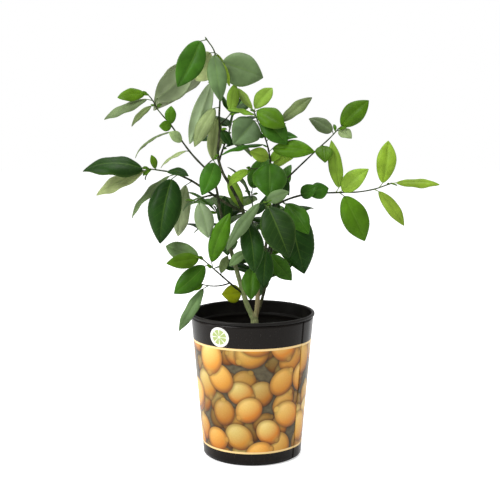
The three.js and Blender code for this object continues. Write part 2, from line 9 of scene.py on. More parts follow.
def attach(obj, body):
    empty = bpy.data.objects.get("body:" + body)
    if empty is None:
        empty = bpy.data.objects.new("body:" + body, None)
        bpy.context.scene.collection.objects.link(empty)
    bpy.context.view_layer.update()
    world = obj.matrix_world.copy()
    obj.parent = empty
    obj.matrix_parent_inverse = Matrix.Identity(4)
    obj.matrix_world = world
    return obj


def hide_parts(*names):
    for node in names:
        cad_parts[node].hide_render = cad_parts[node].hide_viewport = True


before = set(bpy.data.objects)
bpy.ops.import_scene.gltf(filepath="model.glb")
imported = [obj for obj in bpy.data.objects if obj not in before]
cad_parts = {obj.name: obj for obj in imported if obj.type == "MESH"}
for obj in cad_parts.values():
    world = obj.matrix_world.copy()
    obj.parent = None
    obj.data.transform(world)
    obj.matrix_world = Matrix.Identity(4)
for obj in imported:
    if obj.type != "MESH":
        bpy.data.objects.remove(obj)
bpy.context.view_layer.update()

MM = 0.001

# Pot, wrap and soil, as in the solids
POT_HEIGHT = 193.5
LIP_RADIUS = 83.5
LIP_DROP = 4.2
WALL_TOP_RADIUS = 81
WALL_FOOT_RADIUS = 64.8
WALL = 1.7
FLOOR = 3.2
RIDGE_DEPTH = 19
DRAIN_COUNT = 6
DRAIN_RADIUS = 6
DRAIN_CIRCLE = 49
GAP = 0.3
WRAP_THICK = 0.7
WRAP_FOOT = 2
WRAP_TOP = POT_HEIGHT - LIP_DROP - 0.5
LAP_WIDTH = 14
LAP_ANGLE = -31
SOIL_TOP = 158
TRUNK_FOOT_X = 3

# Leaf and twig rules, as in the solids
PETIOLE_SHARE = 0.12
BLADE_SHARE = 0.93
BLADE_WIDER = 1.12
PETIOLE_RADIUS = 0.8
PETIOLE_TAPER = 0.45
PETIOLE_SUNK = 0.2
PETIOLE_WITH_TWIG = 0.8
LEAF_CLEAR = 0.45
LEAF_DROOP = 28
LEAF_FOLD = (6, 20)
LEAF_ROLL = 44
MIDRIB_STEPS = 12
LIMB_STEPS = 9
TWIG_STEPS = 7
LEAF_STATIONS = (0.12, 0.36, 0.62, 0.86)
ROOT_FLARE = 3.2
ROOT_FLARE_SHARE = 0.16
ROOT_LOBES = 5
TWIG_RADII = (1.5, 0.8)
SIDE_TWIG_RADII = (1.1, 0.7)

# Leaves that the rule deals out. Here and in LEAF_FOLD, a pair is a least value and what a draw
# can add to it.
DEALT_FROM = 0.24
DEALT_FORWARD = 0.7
DEALT_LAST_FORWARD = 2
DEALT_LENGTH = (46, 28)
DEALT_WIDTH = (0.4, 0.12)
DEALT_FACE = 8
DEALT_TURN = 137.5
DEALT_SWAY = 40
DEALT_SAG = 0.5

# The finer blades: rows and columns of points, and side veins on each half
BLADE_GRID = (34, 15)
SMALL_BLADE_GRID = (12, 7)
VEIN_COUNT = 8
VEIN_SLANT = 0.256

# name: limb it grows on, share along it, lean, towards, length, radii
LIMBS = {
    "trunk": (None, 0, [88, 91], [0, 0], 22, (5.9, 5.2)),
    "left_stem": ("trunk", 1, [119, 107, 105, 106, 104, 99, 118], [8, 7, 6, 4, 3], 210, (3.9, 1.4)),
    "centre_stem": ("trunk", 1, [76, 93, 98, 102, 110], [4, -4, -6], 155, (3.4, 2.4)),
    "right_stem": ("trunk", 1, [67, 74, 80, 83, 86, 80], [-14, -10, 0, 4], 160, (2.3, 1.5)),
    "inner_stem": ("centre_stem", 0.34, [70, 84, 86], [-14, -4, 6], 124, (2.2, 1.7)),
    "leader": ("centre_stem", 1, [115, 119, 121, 104, 83, 85], [2, -4, 0], 110, (2.3, 1.7)),
    "left_bough": ("centre_stem", 0.96, [158, 147, 145, 146], [4, 12, 14], 80, (2.0, 1.5)),
}

# Leaf colours by kind: upper side, under side. The dull and grey kinds are partly painted sheen: their
# greyish greens stand both for the blades' own colour and for gloss lit on them.
DARK, MID, FRESH, YOUNG = "dark", "mid", "fresh", "young"
DULL_SHEEN, GREY_SHEEN, PALE_LIT, OLD = "dull", "grey", "pale", "old"
LEAF_COLOURS = {
    DARK: ((0.013, 0.044, 0.005), (0.085, 0.150, 0.050)),
    MID: ((0.038, 0.118, 0.007), (0.120, 0.220, 0.045)),
    FRESH: ((0.070, 0.165, 0.005), (0.150, 0.270, 0.030)),
    YOUNG: ((0.222, 0.366, 0.034), (0.275, 0.425, 0.065)),
    DULL_SHEEN: ((0.120, 0.180, 0.070), (0.190, 0.240, 0.120)),
    GREY_SHEEN: ((0.250, 0.315, 0.150), (0.345, 0.400, 0.235)),
    # Painted light: the pale kind is a blade made bright as if lit through it, partly its under side's colour
    PALE_LIT: ((0.400, 0.540, 0.220), (0.450, 0.590, 0.260)),
    OLD: ((0.210, 0.260, 0.005), (0.300, 0.340, 0.020)),
}

# Foliage masses as in the solids. A twig is (share along the first twig, lean, towards, length,
# leaves). A leaf is (share along its twig, lean, towards, length, face, width share, kind, droop).
MASSES = {
    "foliage_top": ("leader", 1, [
        (0, [94, 92, 82, 96, 96, 97, 110, 138], [0, 0, 2, 4, 6], 121, [
            (0.83, 293, -18, 50, 0, 0.3, YOUNG), (0.69, 341, -4, 62, 70, 0.74, DULL_SHEEN),
            (0.78, 223, -30, 127, -40, 0.36, GREY_SHEEN), (0.24, 242, 10, 62, 60, 0.34, GREY_SHEEN),
            (0.16, 262, -15, 65, 60, 0.3, GREY_SHEEN), (0, 300, 5, 26, 60, 0.5, DARK),
            (0.77, 294, 15, 42, 30, 0.22, YOUNG), (0.99, 243, 8, 72, 80, 0.46, MID),
            (0.81, 279, 26, 71, 30, 0.34, DULL_SHEEN), (0.53, 250, 6, 92, -60, 0.25, GREY_SHEEN),
            (0.83, 239, -20, 48, 50, 0.78, PALE_LIT)]),
        (0.05, [40, 50], [-12, -6], 19, [
            (0.9, 30, -40, 40, 20, 0.4, MID), (1, 82, 8, 40, 50, 0.4, YOUNG)]),
    ]),
    "foliage_upper_left": ("left_stem", 1, [
        (0, [138, 134, 127, 124, 133, 129], [-4, -14, -16, -16], 116, [
            (1, 40, -10, 68, -70, 0.54, GREY_SHEEN), (1, 226, 20, 41, 40, 0.24, DULL_SHEEN),
            (0.45, 142, 20, 23, 60, 0.6, GREY_SHEEN), (0.67, 176, 10, 17, 70, 0.8, FRESH),
            (0.6, 214, 6, 63, 0, 0.16, DULL_SHEEN, 50), (0.33, 212, 0, 43, 20, 0.22, GREY_SHEEN),
            (0.69, 89, 0, 25, 60, 0.56, FRESH)]),
        (0.96, [112, 135], [-14, -16], 22, [
            (1, 187, 8, 39, 70, 0.44, FRESH), (0.55, 203, -8, 70, 40, 0.26, DULL_SHEEN)]),
        (0.08, [50, 36], [-10, -10], 15, [
            (1, 247, 20, 50, 80, 0.52, MID)]),
    ]),
    "foliage_left": ("left_bough", 1, [
        (0, [150, 156, 170, 172], [20, 18, 14], 59, [
            (1, 180, 10, 86, 34, 0.5, DARK, 66), (0.98, 206, -10, 80, 50, 0.28, GREY_SHEEN),
            (0.86, 104, 10, 20, 50, 0.42, FRESH), (0.62, 352, 26, 34, 40, 0.4, DARK),
            (0.97, 240, -40, 22, 40, 0.5, DARK), (0, 259, -24, 88, 50, 0.26, GREY_SHEEN),
            (0.4, 226, -14, 86, 30, 0.2, DULL_SHEEN), (0.37, 260, 14, 92, 80, 0.46, DARK)]),
    ]),
    "foliage_mid_left": ("left_stem", 0.85, [
        (0, [176, 196, 215], [14, 10, 0], 31, [
            (0.14, 208, -14, 48, 0, 0.2, DULL_SHEEN, 50), (0.73, 286, 20, 52, 75, 0.47, GREY_SHEEN)]),
    ]),
    "foliage_low_left": ("left_stem", 0.19, [
        (0, [138, 135, 136], [24, 22, 18], 80, [
            (0.76, 70, 12, 76, 60, 0.32, FRESH), (0.55, 69, -24, 28, 40, 0.4, DULL_SHEEN),
            (1, 165, -24, 54, 70, 0.42, DULL_SHEEN), (0.83, 221, 14, 58, 80, 0.48, MID),
            (1, 186, 22, 47, 70, 0.42, FRESH), (0.01, 179, 20, 29, 80, 0.8, OLD)]),
        (0.34, [200, 180, 162], [20, 16, 12], 38, [
            (0.78, 239, 10, 69, 40, 0.24, DULL_SHEEN)]),
    ]),
    "foliage_centre_top": ("inner_stem", 1, [
        (0, [90, 90, 95, 102, 110, 118, 106], [2, 0, 4, 4], 108, [
            (1, 130, -10, 40, -30, 0.44, YOUNG), (1, 50, -16, 40, 60, 0.5, YOUNG),
            (0.9, 316, 12, 52, 80, 0.56, MID), (0.94, 168, 20, 40, 30, 0.34, YOUNG),
            (0.88, 228, 32, 50, 85, 0.76, DULL_SHEEN), (0.54, 192, 10, 62, 10, 0.24, MID),
            (0.48, 357, 20, 62, 70, 0.38, FRESH), (0.38, 160, 18, 30, 80, 0.6, YOUNG),
            (0.34, 46, -26, 24, 60, 0.5, YOUNG), (0.26, 30, -20, 48, 60, 0.3, YOUNG),
            (0.34, 269, 40, 59, 85, 0.74, MID), (1, 329, 20, 47, 60, 0.62, FRESH),
            (0.61, 5, 15, 42, 50, 0.36, MID), (0.66, 155, 30, 17, 50, 0.6, MID),
            (0.27, 300, 16, 43, 80, 0.46, DARK)]),
        (0.68, [36, 44], [-16, -8], 22, [
            (1, 39, -16, 60, 40, 0.3, DULL_SHEEN)]),
        (0.26, [172, 180], [10, 20], 27, [
            (1, 218, 20, 38, 30, 0.44, YOUNG)]),
    ]),
    "foliage_upper_right": ("inner_stem", 0.94, [
        (0, [52, 44, 43, 42, 42, 40, 50], [-18, -20, -20, -10], 134, [
            (0.76, 270, 50, 34, 60, 0.66, FRESH), (0.93, 151, -4, 39, 50, 0.6, DULL_SHEEN),
            (1, 44, 8, 54, 80, 0.52, FRESH), (0.98, 329, 30, 24, 60, 0.66, GREY_SHEEN)]),
    ]),
    "foliage_right": ("right_stem", 1, [
        (0, [30, 16, 11, 1, 1, 0, 8, 13, 26], [-6, -10, -8, -4], 160, [
            (0.05, 307, 30, 58, 75, 0.46, MID), (0.05, 283, 10, 99, 70, 0.5, DARK),
            (0.2, 34, 30, 30, 70, 0.62, MID), (0.52, 99, -8, 70, 50, 0.26, YOUNG),
            (0.54, 42, 14, 50, 70, 0.48, YOUNG), (0.55, 295, 6, 72, 80, 0.48, FRESH),
            (0.85, 307, 10, 62, 70, 0.28, YOUNG), (1, 359, 0, 64, 40, 0.26, YOUNG),
            (0.27, 16, -10, 30, 60, 0.8, MID), (0.9, 82, -10, 63, 70, 0.4, YOUNG)]),
    ]),
    "foliage_front": ("inner_stem", 0.22, [
        (0, [60, 80, 98, 100], [58, 50, 30, 10], 116, [
            (0.97, 293, 20, 75, 85, 0.54, DARK), (0.25, 311, 10, 47, 70, 0.5, MID),
            (1, 23, 10, 33, 60, 0.5, DULL_SHEEN), (1, 234, 15, 78, 40, 0.22, DULL_SHEEN)]),
    ]),
    "foliage_front_low": ("centre_stem", 0.42, [
        (0, [108, 104, 96, 92], [62, 46, 24, 10], 100, [
            (1, 278, 20, 71, 85, 0.4, DARK), (0.24, 267, 30, 48, 70, 0.5, MID),
            (0.54, 220, 0, 32, 70, 0.4, DULL_SHEEN)]),
        (0.35, [40, 62], [30, 10], 26, [
            (1, 266, 10, 52, 80, 0.44, DARK)]),
    ]),
    "foliage_back_left": ("left_stem", 0.44, [
        (0, [110, 116, 112], [-58, -52, -36], 100, 8),
    ]),
    "foliage_back": ("centre_stem", 0.66, [
        (0, [84, 90, 94], [-54, -52, -36], 98, 9),
        (0.62, [150, 160], [-6, 0], 14, [
            (0.88, 112, -6, 52, 60, 0.32, YOUNG), (1, 161, -10, 47, 60, 0.4, DULL_SHEEN)]),
    ]),
    "foliage_back_right": ("right_stem", 0.57, [
        (0, [82, 86, 90], [-54, -50, -32], 98, 9),
    ]),
    "foliage_back_low": ("right_stem", 0.27, [
        (0, [100, 104], [-64, -50], 80, 7),
    ]),
    "foliage_back_top": ("leader", 0.62, [
        (0, [74, 70, 84], [-50, -48, -26], 96, 8),
    ]),
}


# The growth rule


def draws(seed):
    """Even draws between 0 and 1, the same as in the solids' rule."""
    state = seed & 0xFFFFFFFF

    def draw():
        nonlocal state
        state = (state + 0x6D2B79F5) & 0xFFFFFFFF
        t = state
        t = ((t ^ (t >> 15)) * (t | 1)) & 0xFFFFFFFF
        t ^= (t + ((t ^ (t >> 7)) * (t | 61) & 0xFFFFFFFF)) & 0xFFFFFFFF
        return ((t ^ (t >> 14)) & 0xFFFFFFFF) / 4294967296

    return draw


def unit(v):
    return v / np.linalg.norm(v)


def heading(lean, towards):
    """The way of a lean, counted in degrees from the right, and of a turn to the front."""
    a, b = math.radians(lean), math.radians(towards)
    return np.array([math.cos(a) * math.cos(b), -math.sin(b), math.sin(a) * math.cos(b)])


def along(values, t):
    """The number or point at share t of an evenly spaced row."""
    x = min(max(t, 0), 1) * (len(values) - 1)
    i = min(int(x), len(values) - 2)
    return values[i] + (values[i + 1] - values[i]) * (x - i)


def way_at(points, t):
    x = min(max(t, 0), 1) * (len(points) - 1)
    i = min(int(x), len(points) - 2)
    return unit(points[i + 1] - points[i])


def way_out(way, turn):
    """The way out of a twig, at an angle round it."""
    across = unit(np.cross(way, [0, 0, 1]))
    return across * math.cos(turn) + np.cross(across, way) * math.sin(turn)


def drawn(pair, random):
    return pair[0] + pair[1] * random()


def grow(start, lean, towards, length, steps):
    """A path from start that turns as its two rows of angles say."""
    points = [start]
    for i in range(steps):
        t = (i + 0.5) / steps
        points.append(points[-1] + heading(along(lean, t), along(towards, t)) * (length / steps))
    return np.array(points)


def outline(t):
    """Half width of a blade at share t of its length, as a share of its widest."""
    t = np.clip(t, 0, 1)
    return np.sin(np.pi * t ** 0.9) ** (0.6 + 0.25 * t)


def leaf_frame(base, aim, face, length, droop):
    """A leaf's midrib, the way that its upper side looks, and the way to its side."""
    up = np.array([0, -math.sin(math.radians(face)), math.cos(math.radians(face))])
    normal = unit(up - aim * up.dot(aim))
    midrib = [base]
    for i in range(MIDRIB_STEPS):
        a = math.radians(droop) * (0.5 - (i + 0.5) / MIDRIB_STEPS)
        midrib.append(midrib[-1] + (aim * math.cos(a) + normal * math.sin(a)) * (length / MIDRIB_STEPS))
    return {"midrib": np.array(midrib), "normal": normal, "side": np.cross(normal, aim)}


def dealt_leaves(points, count, random):
    """Rows for leaves that stand round the outer part of a twig."""
    rows = []
    for i in range(count):
        t = DEALT_FROM + (1 - DEALT_FROM) * i / (count - 1)
        way = way_at(points, t)
        turn = math.radians(DEALT_TURN * i + DEALT_SWAY * random())
        forward = DEALT_LAST_FORWARD if i == count - 1 else DEALT_FORWARD
        aim = unit(way * forward + way_out(way, turn))
        aim[2] -= DEALT_SAG * random()
        length = drawn(DEALT_LENGTH, random)
        width = drawn(DEALT_WIDTH, random)
        rows.append((t, unit(aim), length, DEALT_FACE, width, MID if i >= count - 2 else DARK, LEAF_DROOP))
    return rows


def leaf_row(at, lean, towards, length, face, width, kind, droop=LEAF_DROOP):
    return at, heading(lean, towards), length, face, width, kind, droop


def small_blade(leaf, extra):
    """The solids' blade, made wider by extra, to find what it would touch."""
    points = [leaf["midrib"][0]]
    thick = leaf["length"] * 0.01
    for t in LEAF_STATIONS:
        middle = along(leaf["midrib"], t)
        half = leaf["half"] * float(outline(t)) + extra
        across, up = rolled(leaf, t)
        rise, reach = half * math.sin(leaf["fold"]), half * math.cos(leaf["fold"])
        deep = thick + extra
        points += [middle + across * reach + up * rise, middle + up * deep,
                   middle - across * reach + up * rise, middle - up * deep]
    points.append(leaf["midrib"][-1])
    faces = []
    last = len(points) - 1
    for s in range(4):
        n = (s + 1) % 4
        faces.append((0, 1 + n, 1 + s))
        for r in range(len(LEAF_STATIONS) - 1):
            a, b = 1 + 4 * r + s, 1 + 4 * r + n
            faces += [(a, b, b + 4), (a, b + 4, a + 4)] if s % 2 else [(a, b, a + 4), (b, b + 4, a + 4)]
        faces.append((last - 4 + s, last - 4 + n, last))
    return BVHTree.FromPolygons([Vector(p) for p in points], faces)


def rolled(leaf, t):
    """The blade's ways across and up at share t of its length."""
    roll = leaf["roll"] * (t - 0.3)
    across = leaf["side"] * math.cos(roll) + leaf["normal"] * math.sin(roll)
    up = leaf["normal"] * math.cos(roll) - leaf["side"] * math.sin(roll)
    return across, up


def angles_round(count):
    return 2 * np.pi * np.arange(count) / count


def rod_rings(points, sides, radius):
    """Rings of points round a path. radius takes the share along it and the angle round it."""
    points = np.array(points)
    last = len(points) - 1
    across = np.array([0.0, 1.0, 0.0])
    angles = angles_round(sides)
    rings = []
    for i, p in enumerate(points):
        way = unit(points[min(i + 1, last)] - points[max(i - 1, 0)])
        across = unit(across - way * across.dot(way))
        r = np.array([radius(i / last, a) for a in angles])
        rings.append(p + np.outer(r * np.cos(angles), across)
                     + np.outer(r * np.sin(angles), np.cross(way, across)))
    return np.array(rings)


def small_rod(points, sides, radius):
    """A rod of few faces, to find what it would touch."""
    rings = rod_rings(points, sides, radius)
    faces = grid_faces(len(rings), sides, wrap=True).tolist()
    return BVHTree.FromPolygons([Vector(p) for p in rings.reshape(-1, 3)], faces)


def tapering(radii):
    return lambda t, a: radii[0] + (radii[1] - radii[0]) * t


def petiole(extra):
    return lambda t, a: PETIOLE_RADIUS * (1 - PETIOLE_TAPER * t) + extra


def touches_any(leaf, own, masses, limb_trees, placed):
    """Whether a leaf would touch a limb, another mass's twig or a leaf that is already there."""
    room, stalk_room = leaf["room"], leaf["stalk_room"]
    if any(room.overlap(limb) for limb in limb_trees):
        return True
    others = [twig["tree"] for mass in masses if mass is not own for twig in mass["twigs"]]
    if any(room.overlap(twig) or stalk_room.overlap(twig) for twig in others):
        return True
    for other in placed:
        if room.overlap(other["solid"]):
            return True
        if other["order"] == leaf["order"]:
            continue
        if room.overlap(other["stalk"]) or stalk_room.overlap(other["stalk"]):
            return True
        if stalk_room.overlap(other["solid"]):
            return True
    return False


def grown_leaf(points, row, random):
    """A leaf on its twig, with the simple solids that show what it would touch."""
    at_twig, aim, full, face, width, kind, droop = row
    root = along(points, at_twig)
    rise = unit(aim + way_at(points, at_twig) * PETIOLE_WITH_TWIG)
    foot = root + rise * full * PETIOLE_SHARE
    blade = full * BLADE_SHARE
    leaf = {**leaf_frame(foot, aim, face, blade, droop), "length": blade, "kind": kind, "grid": BLADE_GRID,
            "half": width * blade / 2 * BLADE_WIDER, "fold": math.radians(drawn(LEAF_FOLD, random)),
            "roll": math.radians(LEAF_ROLL * (random() - 0.5)), "root": root, "foot": foot}
    stalk = [root, foot, along(leaf["midrib"], PETIOLE_SUNK)]
    leaf["solid"] = small_blade(leaf, 0)
    leaf["room"] = small_blade(leaf, LEAF_CLEAR)
    leaf["stalk"] = small_rod(stalk, 3, petiole(0))
    leaf["stalk_room"] = small_rod(stalk, 3, petiole(2 * GAP))
    return leaf


def grow_tree():
    """The limbs' paths, and the masses with their twigs and those leaves that touch nothing."""
    paths = {}
    limb_trees = []
    for name, (on, at, lean, towards, length, radii) in LIMBS.items():
        start = along(paths[on], at) if on else np.array([TRUNK_FOOT_X, 0, SOIL_TOP + GAP])
        paths[name] = grow(start, lean, towards, length, LIMB_STEPS)
        limb_trees.append(small_rod(paths[name], 8, tapering(radii)))
    masses = []
    for order, (name, (on, at, twigs)) in enumerate(MASSES.items()):
        random = draws(97 * order + 11)
        grown = []
        for k, (share, lean, towards, length, leaves) in enumerate(twigs):
            start = along(paths[on], at) if k == 0 else along(grown[0]["points"], share)
            points = grow(start, lean, towards, length, TWIG_STEPS)
            radii = TWIG_RADII if k == 0 else SIDE_TWIG_RADII
            seen = isinstance(leaves, list)
            rows = [leaf_row(*row) for row in leaves] if seen else dealt_leaves(points, leaves, random)
            made = [{**grown_leaf(points, row, random), "seen": seen, "order": order} for row in rows]
            tree = small_rod(points, 5, tapering(radii))
            grown.append({"points": points, "radii": radii, "leaves": made, "tree": tree})
        masses.append({"name": name, "twigs": grown, "order": order, "leaves": []})
    placed = []
    for seen in (True, False):
        for own in masses:
            for leaf in [leaf for twig in own["twigs"] for leaf in twig["leaves"]]:
                if leaf["seen"] == seen and not touches_any(leaf, own, masses, limb_trees, placed):
                    placed.append(leaf)
                    own["leaves"].append(leaf)
    return paths, masses


# Meshes


def new_object(name, data):
    thing = bpy.data.objects.new(name, data)
    bpy.context.scene.collection.objects.link(thing)
    return thing


def deal_colour(mesh, rgb):
    """Gives each point its colour, in the layer that the materials read."""
    layer = mesh.color_attributes.new("dealt_colour", "FLOAT_COLOR", "POINT")
    layer.data.foreach_set("color", np.c_[rgb, np.ones(len(rgb))].astype(np.float32).ravel())


def apply_modifiers(piece):
    """Keeps what the modifiers make of the piece's mesh, and takes them off."""
    bpy.context.view_layer.update()
    fresh = bpy.data.meshes.new_from_object(piece.evaluated_get(bpy.context.evaluated_depsgraph_get()))
    piece.modifiers.clear()
    piece.data = fresh
    return fresh


class Surface:
    """Points, faces, face materials, point colours and corner maps of one joined mesh."""

    def __init__(self):
        self.points, self.faces, self.slots, self.colours, self.maps = [], [], [], [], {}
        self.count = 0

    def add(self, points, *blocks, slot=0, colour=(1, 1, 1), **maps):
        """Adds points with blocks of faces. slot and colour are one for all, or one for each."""
        points = np.asarray(points, float).reshape(-1, 3)
        faces = [tuple(face) for block in blocks for face in (block + self.count).tolist()]
        self.points.append(points)
        self.faces += faces
        self.slots.append(np.broadcast_to(slot, len(faces)))
        self.colours.append(np.broadcast_to(colour, (len(points), 3)))
        for name, uv in maps.items():
            self.maps.setdefault(name, []).append(uv)
        self.count += len(points)

    def add_rings(self, rings, ends=None, flip=False, slot=0, colour=(1, 1, 1)):
        """Adds a closed skin over rings of points, between ends or else the end rings' middles."""
        rings = np.asarray(rings, float)
        rows, sides = rings.shape[:2]
        if ends is None:
            ends = rings[0].mean(0), rings[-1].mean(0)
        n = rows * sides
        here, after = np.arange(sides), (np.arange(sides) + 1) % sides
        if flip:
            here, after = after, here
        near = np.stack([np.full(sides, n), after, here], -1)
        far = np.stack([np.full(sides, n + 1), n - sides + here, n - sides + after], -1)
        self.add(np.vstack([rings.reshape(-1, 3), *ends]), grid_faces(rows, sides, wrap=True, flip=flip),
                 near, far, slot=slot, colour=colour)

    def make(self, name, materials):
        mesh = bpy.data.meshes.new(name)
        mesh.from_pydata((np.concatenate(self.points) * MM).tolist(), [], self.faces)
        for material in materials:
            mesh.materials.append(material)
        mesh.polygons.foreach_set("material_index", np.concatenate(self.slots).astype(np.int32))
        mesh.polygons.foreach_set("use_smooth", np.full(len(self.faces), True))
        for map_name, blocks in self.maps.items():
            layer = mesh.uv_layers.new(name=map_name)
            layer.data.foreach_set("uv", np.concatenate(blocks).astype(np.float32).ravel())
        deal_colour(mesh, np.concatenate(self.colours))
        mesh.update()
        return new_object(name, mesh)


def grid_faces(rows, columns, wrap=False, flip=False):
    """Quads of a grid of points, rows by columns. wrap joins the last column to the first."""
    r = np.arange(rows - 1)[:, None]
    c = np.arange(columns if wrap else columns - 1)[None, :]
    a = r * columns + c
    b = r * columns + (c + 1) % columns
    quads = np.stack([a, b, b + columns, a + columns], -1).reshape(-1, 4)
    return quads[:, ::-1] if flip else quads


def grid_corners(rows, columns, box, flip=False):
    """Map corners of the grid's quads, filling box = (u0, v0, u1, v1)."""
    u = np.linspace(box[0], box[2], rows)
    v = np.linspace(box[1], box[3], columns)
    r = np.arange(rows - 1)[:, None] + np.zeros(columns - 1, int)[None, :]
    c = np.zeros(rows - 1, int)[:, None] + np.arange(columns - 1)[None, :]
    corner = [(r, c), (r, c + 1), (r + 1, c + 1), (r + 1, c)]
    uv = np.stack([np.stack([u[i], v[j]], -1) for i, j in corner], 2)
    if flip:
        uv = uv[:, :, ::-1]
    return uv.reshape(-1, 2)


# Where the rings of a rod's rounded end stand, as shares of its radius past the tip
ROUND_END = (0.5, 0.85)


def add_rod(surface, points, sides, radius, colour):
    """A closed rod with a rounded far end. colour is one, or a row of them from foot to tip."""
    rings = rod_rings(points, sides, radius)
    last, tip = rings[-1], np.array(points[-1])
    way = unit(tip - np.array(points[-2]))
    size = np.linalg.norm(last[0] - tip)
    end = [tip + (last - tip) * math.sqrt(1 - share ** 2) + way * size * share for share in ROUND_END]
    rings = np.concatenate([rings, end])
    colour = np.asarray(colour, float)
    if colour.ndim > 1:
        tint = np.array([along(colour, i / (len(rings) - 1)) for i in range(len(rings))])
        colour = np.vstack([np.repeat(tint, sides, 0), tint[0], tint[-1]])
    surface.add_rings(rings, colour=colour)


# The blades' small forms: waves and teeth along the edge, where the tip starts to hang, the
# midrib's half width as a share of the blade's, and depths in millimetres on a usual leaf
EDGE_WAVES = 2.3
EDGE_TEETH = 17
TIP_HANGS_FROM = 0.72
MIDRIB_HALF = 0.09
VEIN_RISE = 0.34
MIDRIB_SUNK = 0.5
MIDRIB_PROUD = 0.45
USUAL_LENGTH = 75


def blade_points(leaf, detail):
    """Upper and under side of a finely made blade. detail draws its own small waves."""
    rows, columns = leaf["grid"]
    t = np.linspace(0, 1, rows)
    s = np.linspace(-1, 1, columns)
    fullest = 0.90 + 0.24 * detail()
    width = leaf["half"] * outline(np.clip(t, 0.004, 0.996) ** fullest) + 0.25
    width *= 1 + 0.006 * np.sin(2 * np.pi * EDGE_TEETH * t)
    sweep = 0.07 * leaf["length"] * (detail() - 0.5) * np.sin(np.pi * t)
    hang = 0.5 * leaf["length"] * np.clip(t - TIP_HANGS_FROM, 0, 1) ** 2
    middle = np.array([along(leaf["midrib"], x) for x in t])
    middle = middle + np.outer(sweep, leaf["side"]) - np.outer(hang, leaf["normal"])
    across, up = [np.array(ways)[:, None, :] for ways in zip(*[rolled(leaf, x) for x in t])]
    wave, turn, curl = 0.6 + 1.3 * detail(), 6.28 * detail(), math.radians(6 + 20 * detail())
    size = leaf["length"] / USUAL_LENGTH
    side = np.abs(s)[None, :]
    half = width[:, None]
    arch = np.sin(np.pi * t)[:, None]
    angle = leaf["fold"] * (1.15 - 0.5 * side) - curl * side ** 2
    reach = half * np.sign(s)[None, :] * side * np.cos(angle)
    rise = half * side * np.sin(angle)
    waves = np.sin(2 * np.pi * EDGE_WAVES * t[:, None] + turn + 1.3 * np.sign(s)[None, :])
    rise = rise + wave * size * (side ** 2 * arch) * waves
    vein = VEIN_COUNT * (t[:, None] - VEIN_SLANT * side * arch)
    pillow = np.abs(np.sin(np.pi * vein)) ** 0.6
    midrib = np.exp(-(side / MIDRIB_HALF) ** 2)
    relief = size * (VEIN_RISE * pillow * np.minimum(1, side * 5) * (1 - side ** 4) - MIDRIB_SUNK * midrib)
    thick = 0.2 + 0.25 * (1 - side) * np.sin(np.pi * np.clip(t, 0.02, 0.98))[:, None]
    body = middle[:, None, :] + across * reach[:, :, None]
    upper = body + up * (rise + relief + thick)[:, :, None]
    under = body + up * (rise + relief * 0.6 - thick - MIDRIB_PROUD * midrib * size)[:, :, None]
    return upper, under


def add_blade(surface, leaf, detail, upper_tint, under_tint, bake_boxes):
    """A blade's two sides and its rim. bake_boxes are the two sides' places on the map for baking."""
    upper, under = blade_points(leaf, detail)
    rows, columns = leaf["grid"]
    n = rows * columns
    index = np.arange(n).reshape(rows, columns)
    loop = np.concatenate([index[0, :], index[1:, -1], index[-1, -2::-1], index[-2:0:-1, 0]])
    after = np.roll(loop, -1)
    top = grid_faces(rows, columns, flip=True)
    low = grid_faces(rows, columns) + n
    rim = np.stack([loop, after, after + n, loop + n], -1)
    share = np.stack([loop // columns / (rows - 1), loop % columns / (columns - 1)], -1)
    share_after = np.roll(share, -1, 0)
    rim_share = np.stack([share, share_after, share_after, share], 1).reshape(-1, 2)

    def corners(top_box, low_box):
        low_size = np.array(low_box[2:]) - low_box[:2]
        return np.vstack([
            grid_corners(rows, columns, top_box, flip=True), grid_corners(rows, columns, low_box),
            rim_share * low_size + low_box[:2]])

    whole = (0, 0, 1, 1)
    sides = np.repeat([0, 1], [len(top), len(low) + len(rim)])
    tint = np.repeat([upper_tint, under_tint], n, 0)
    surface.add([upper, under], top, low, rim, slot=sides, colour=tint,
                LeafMap=corners(whole, whole), OFBake=corners(*bake_boxes))


# Materials


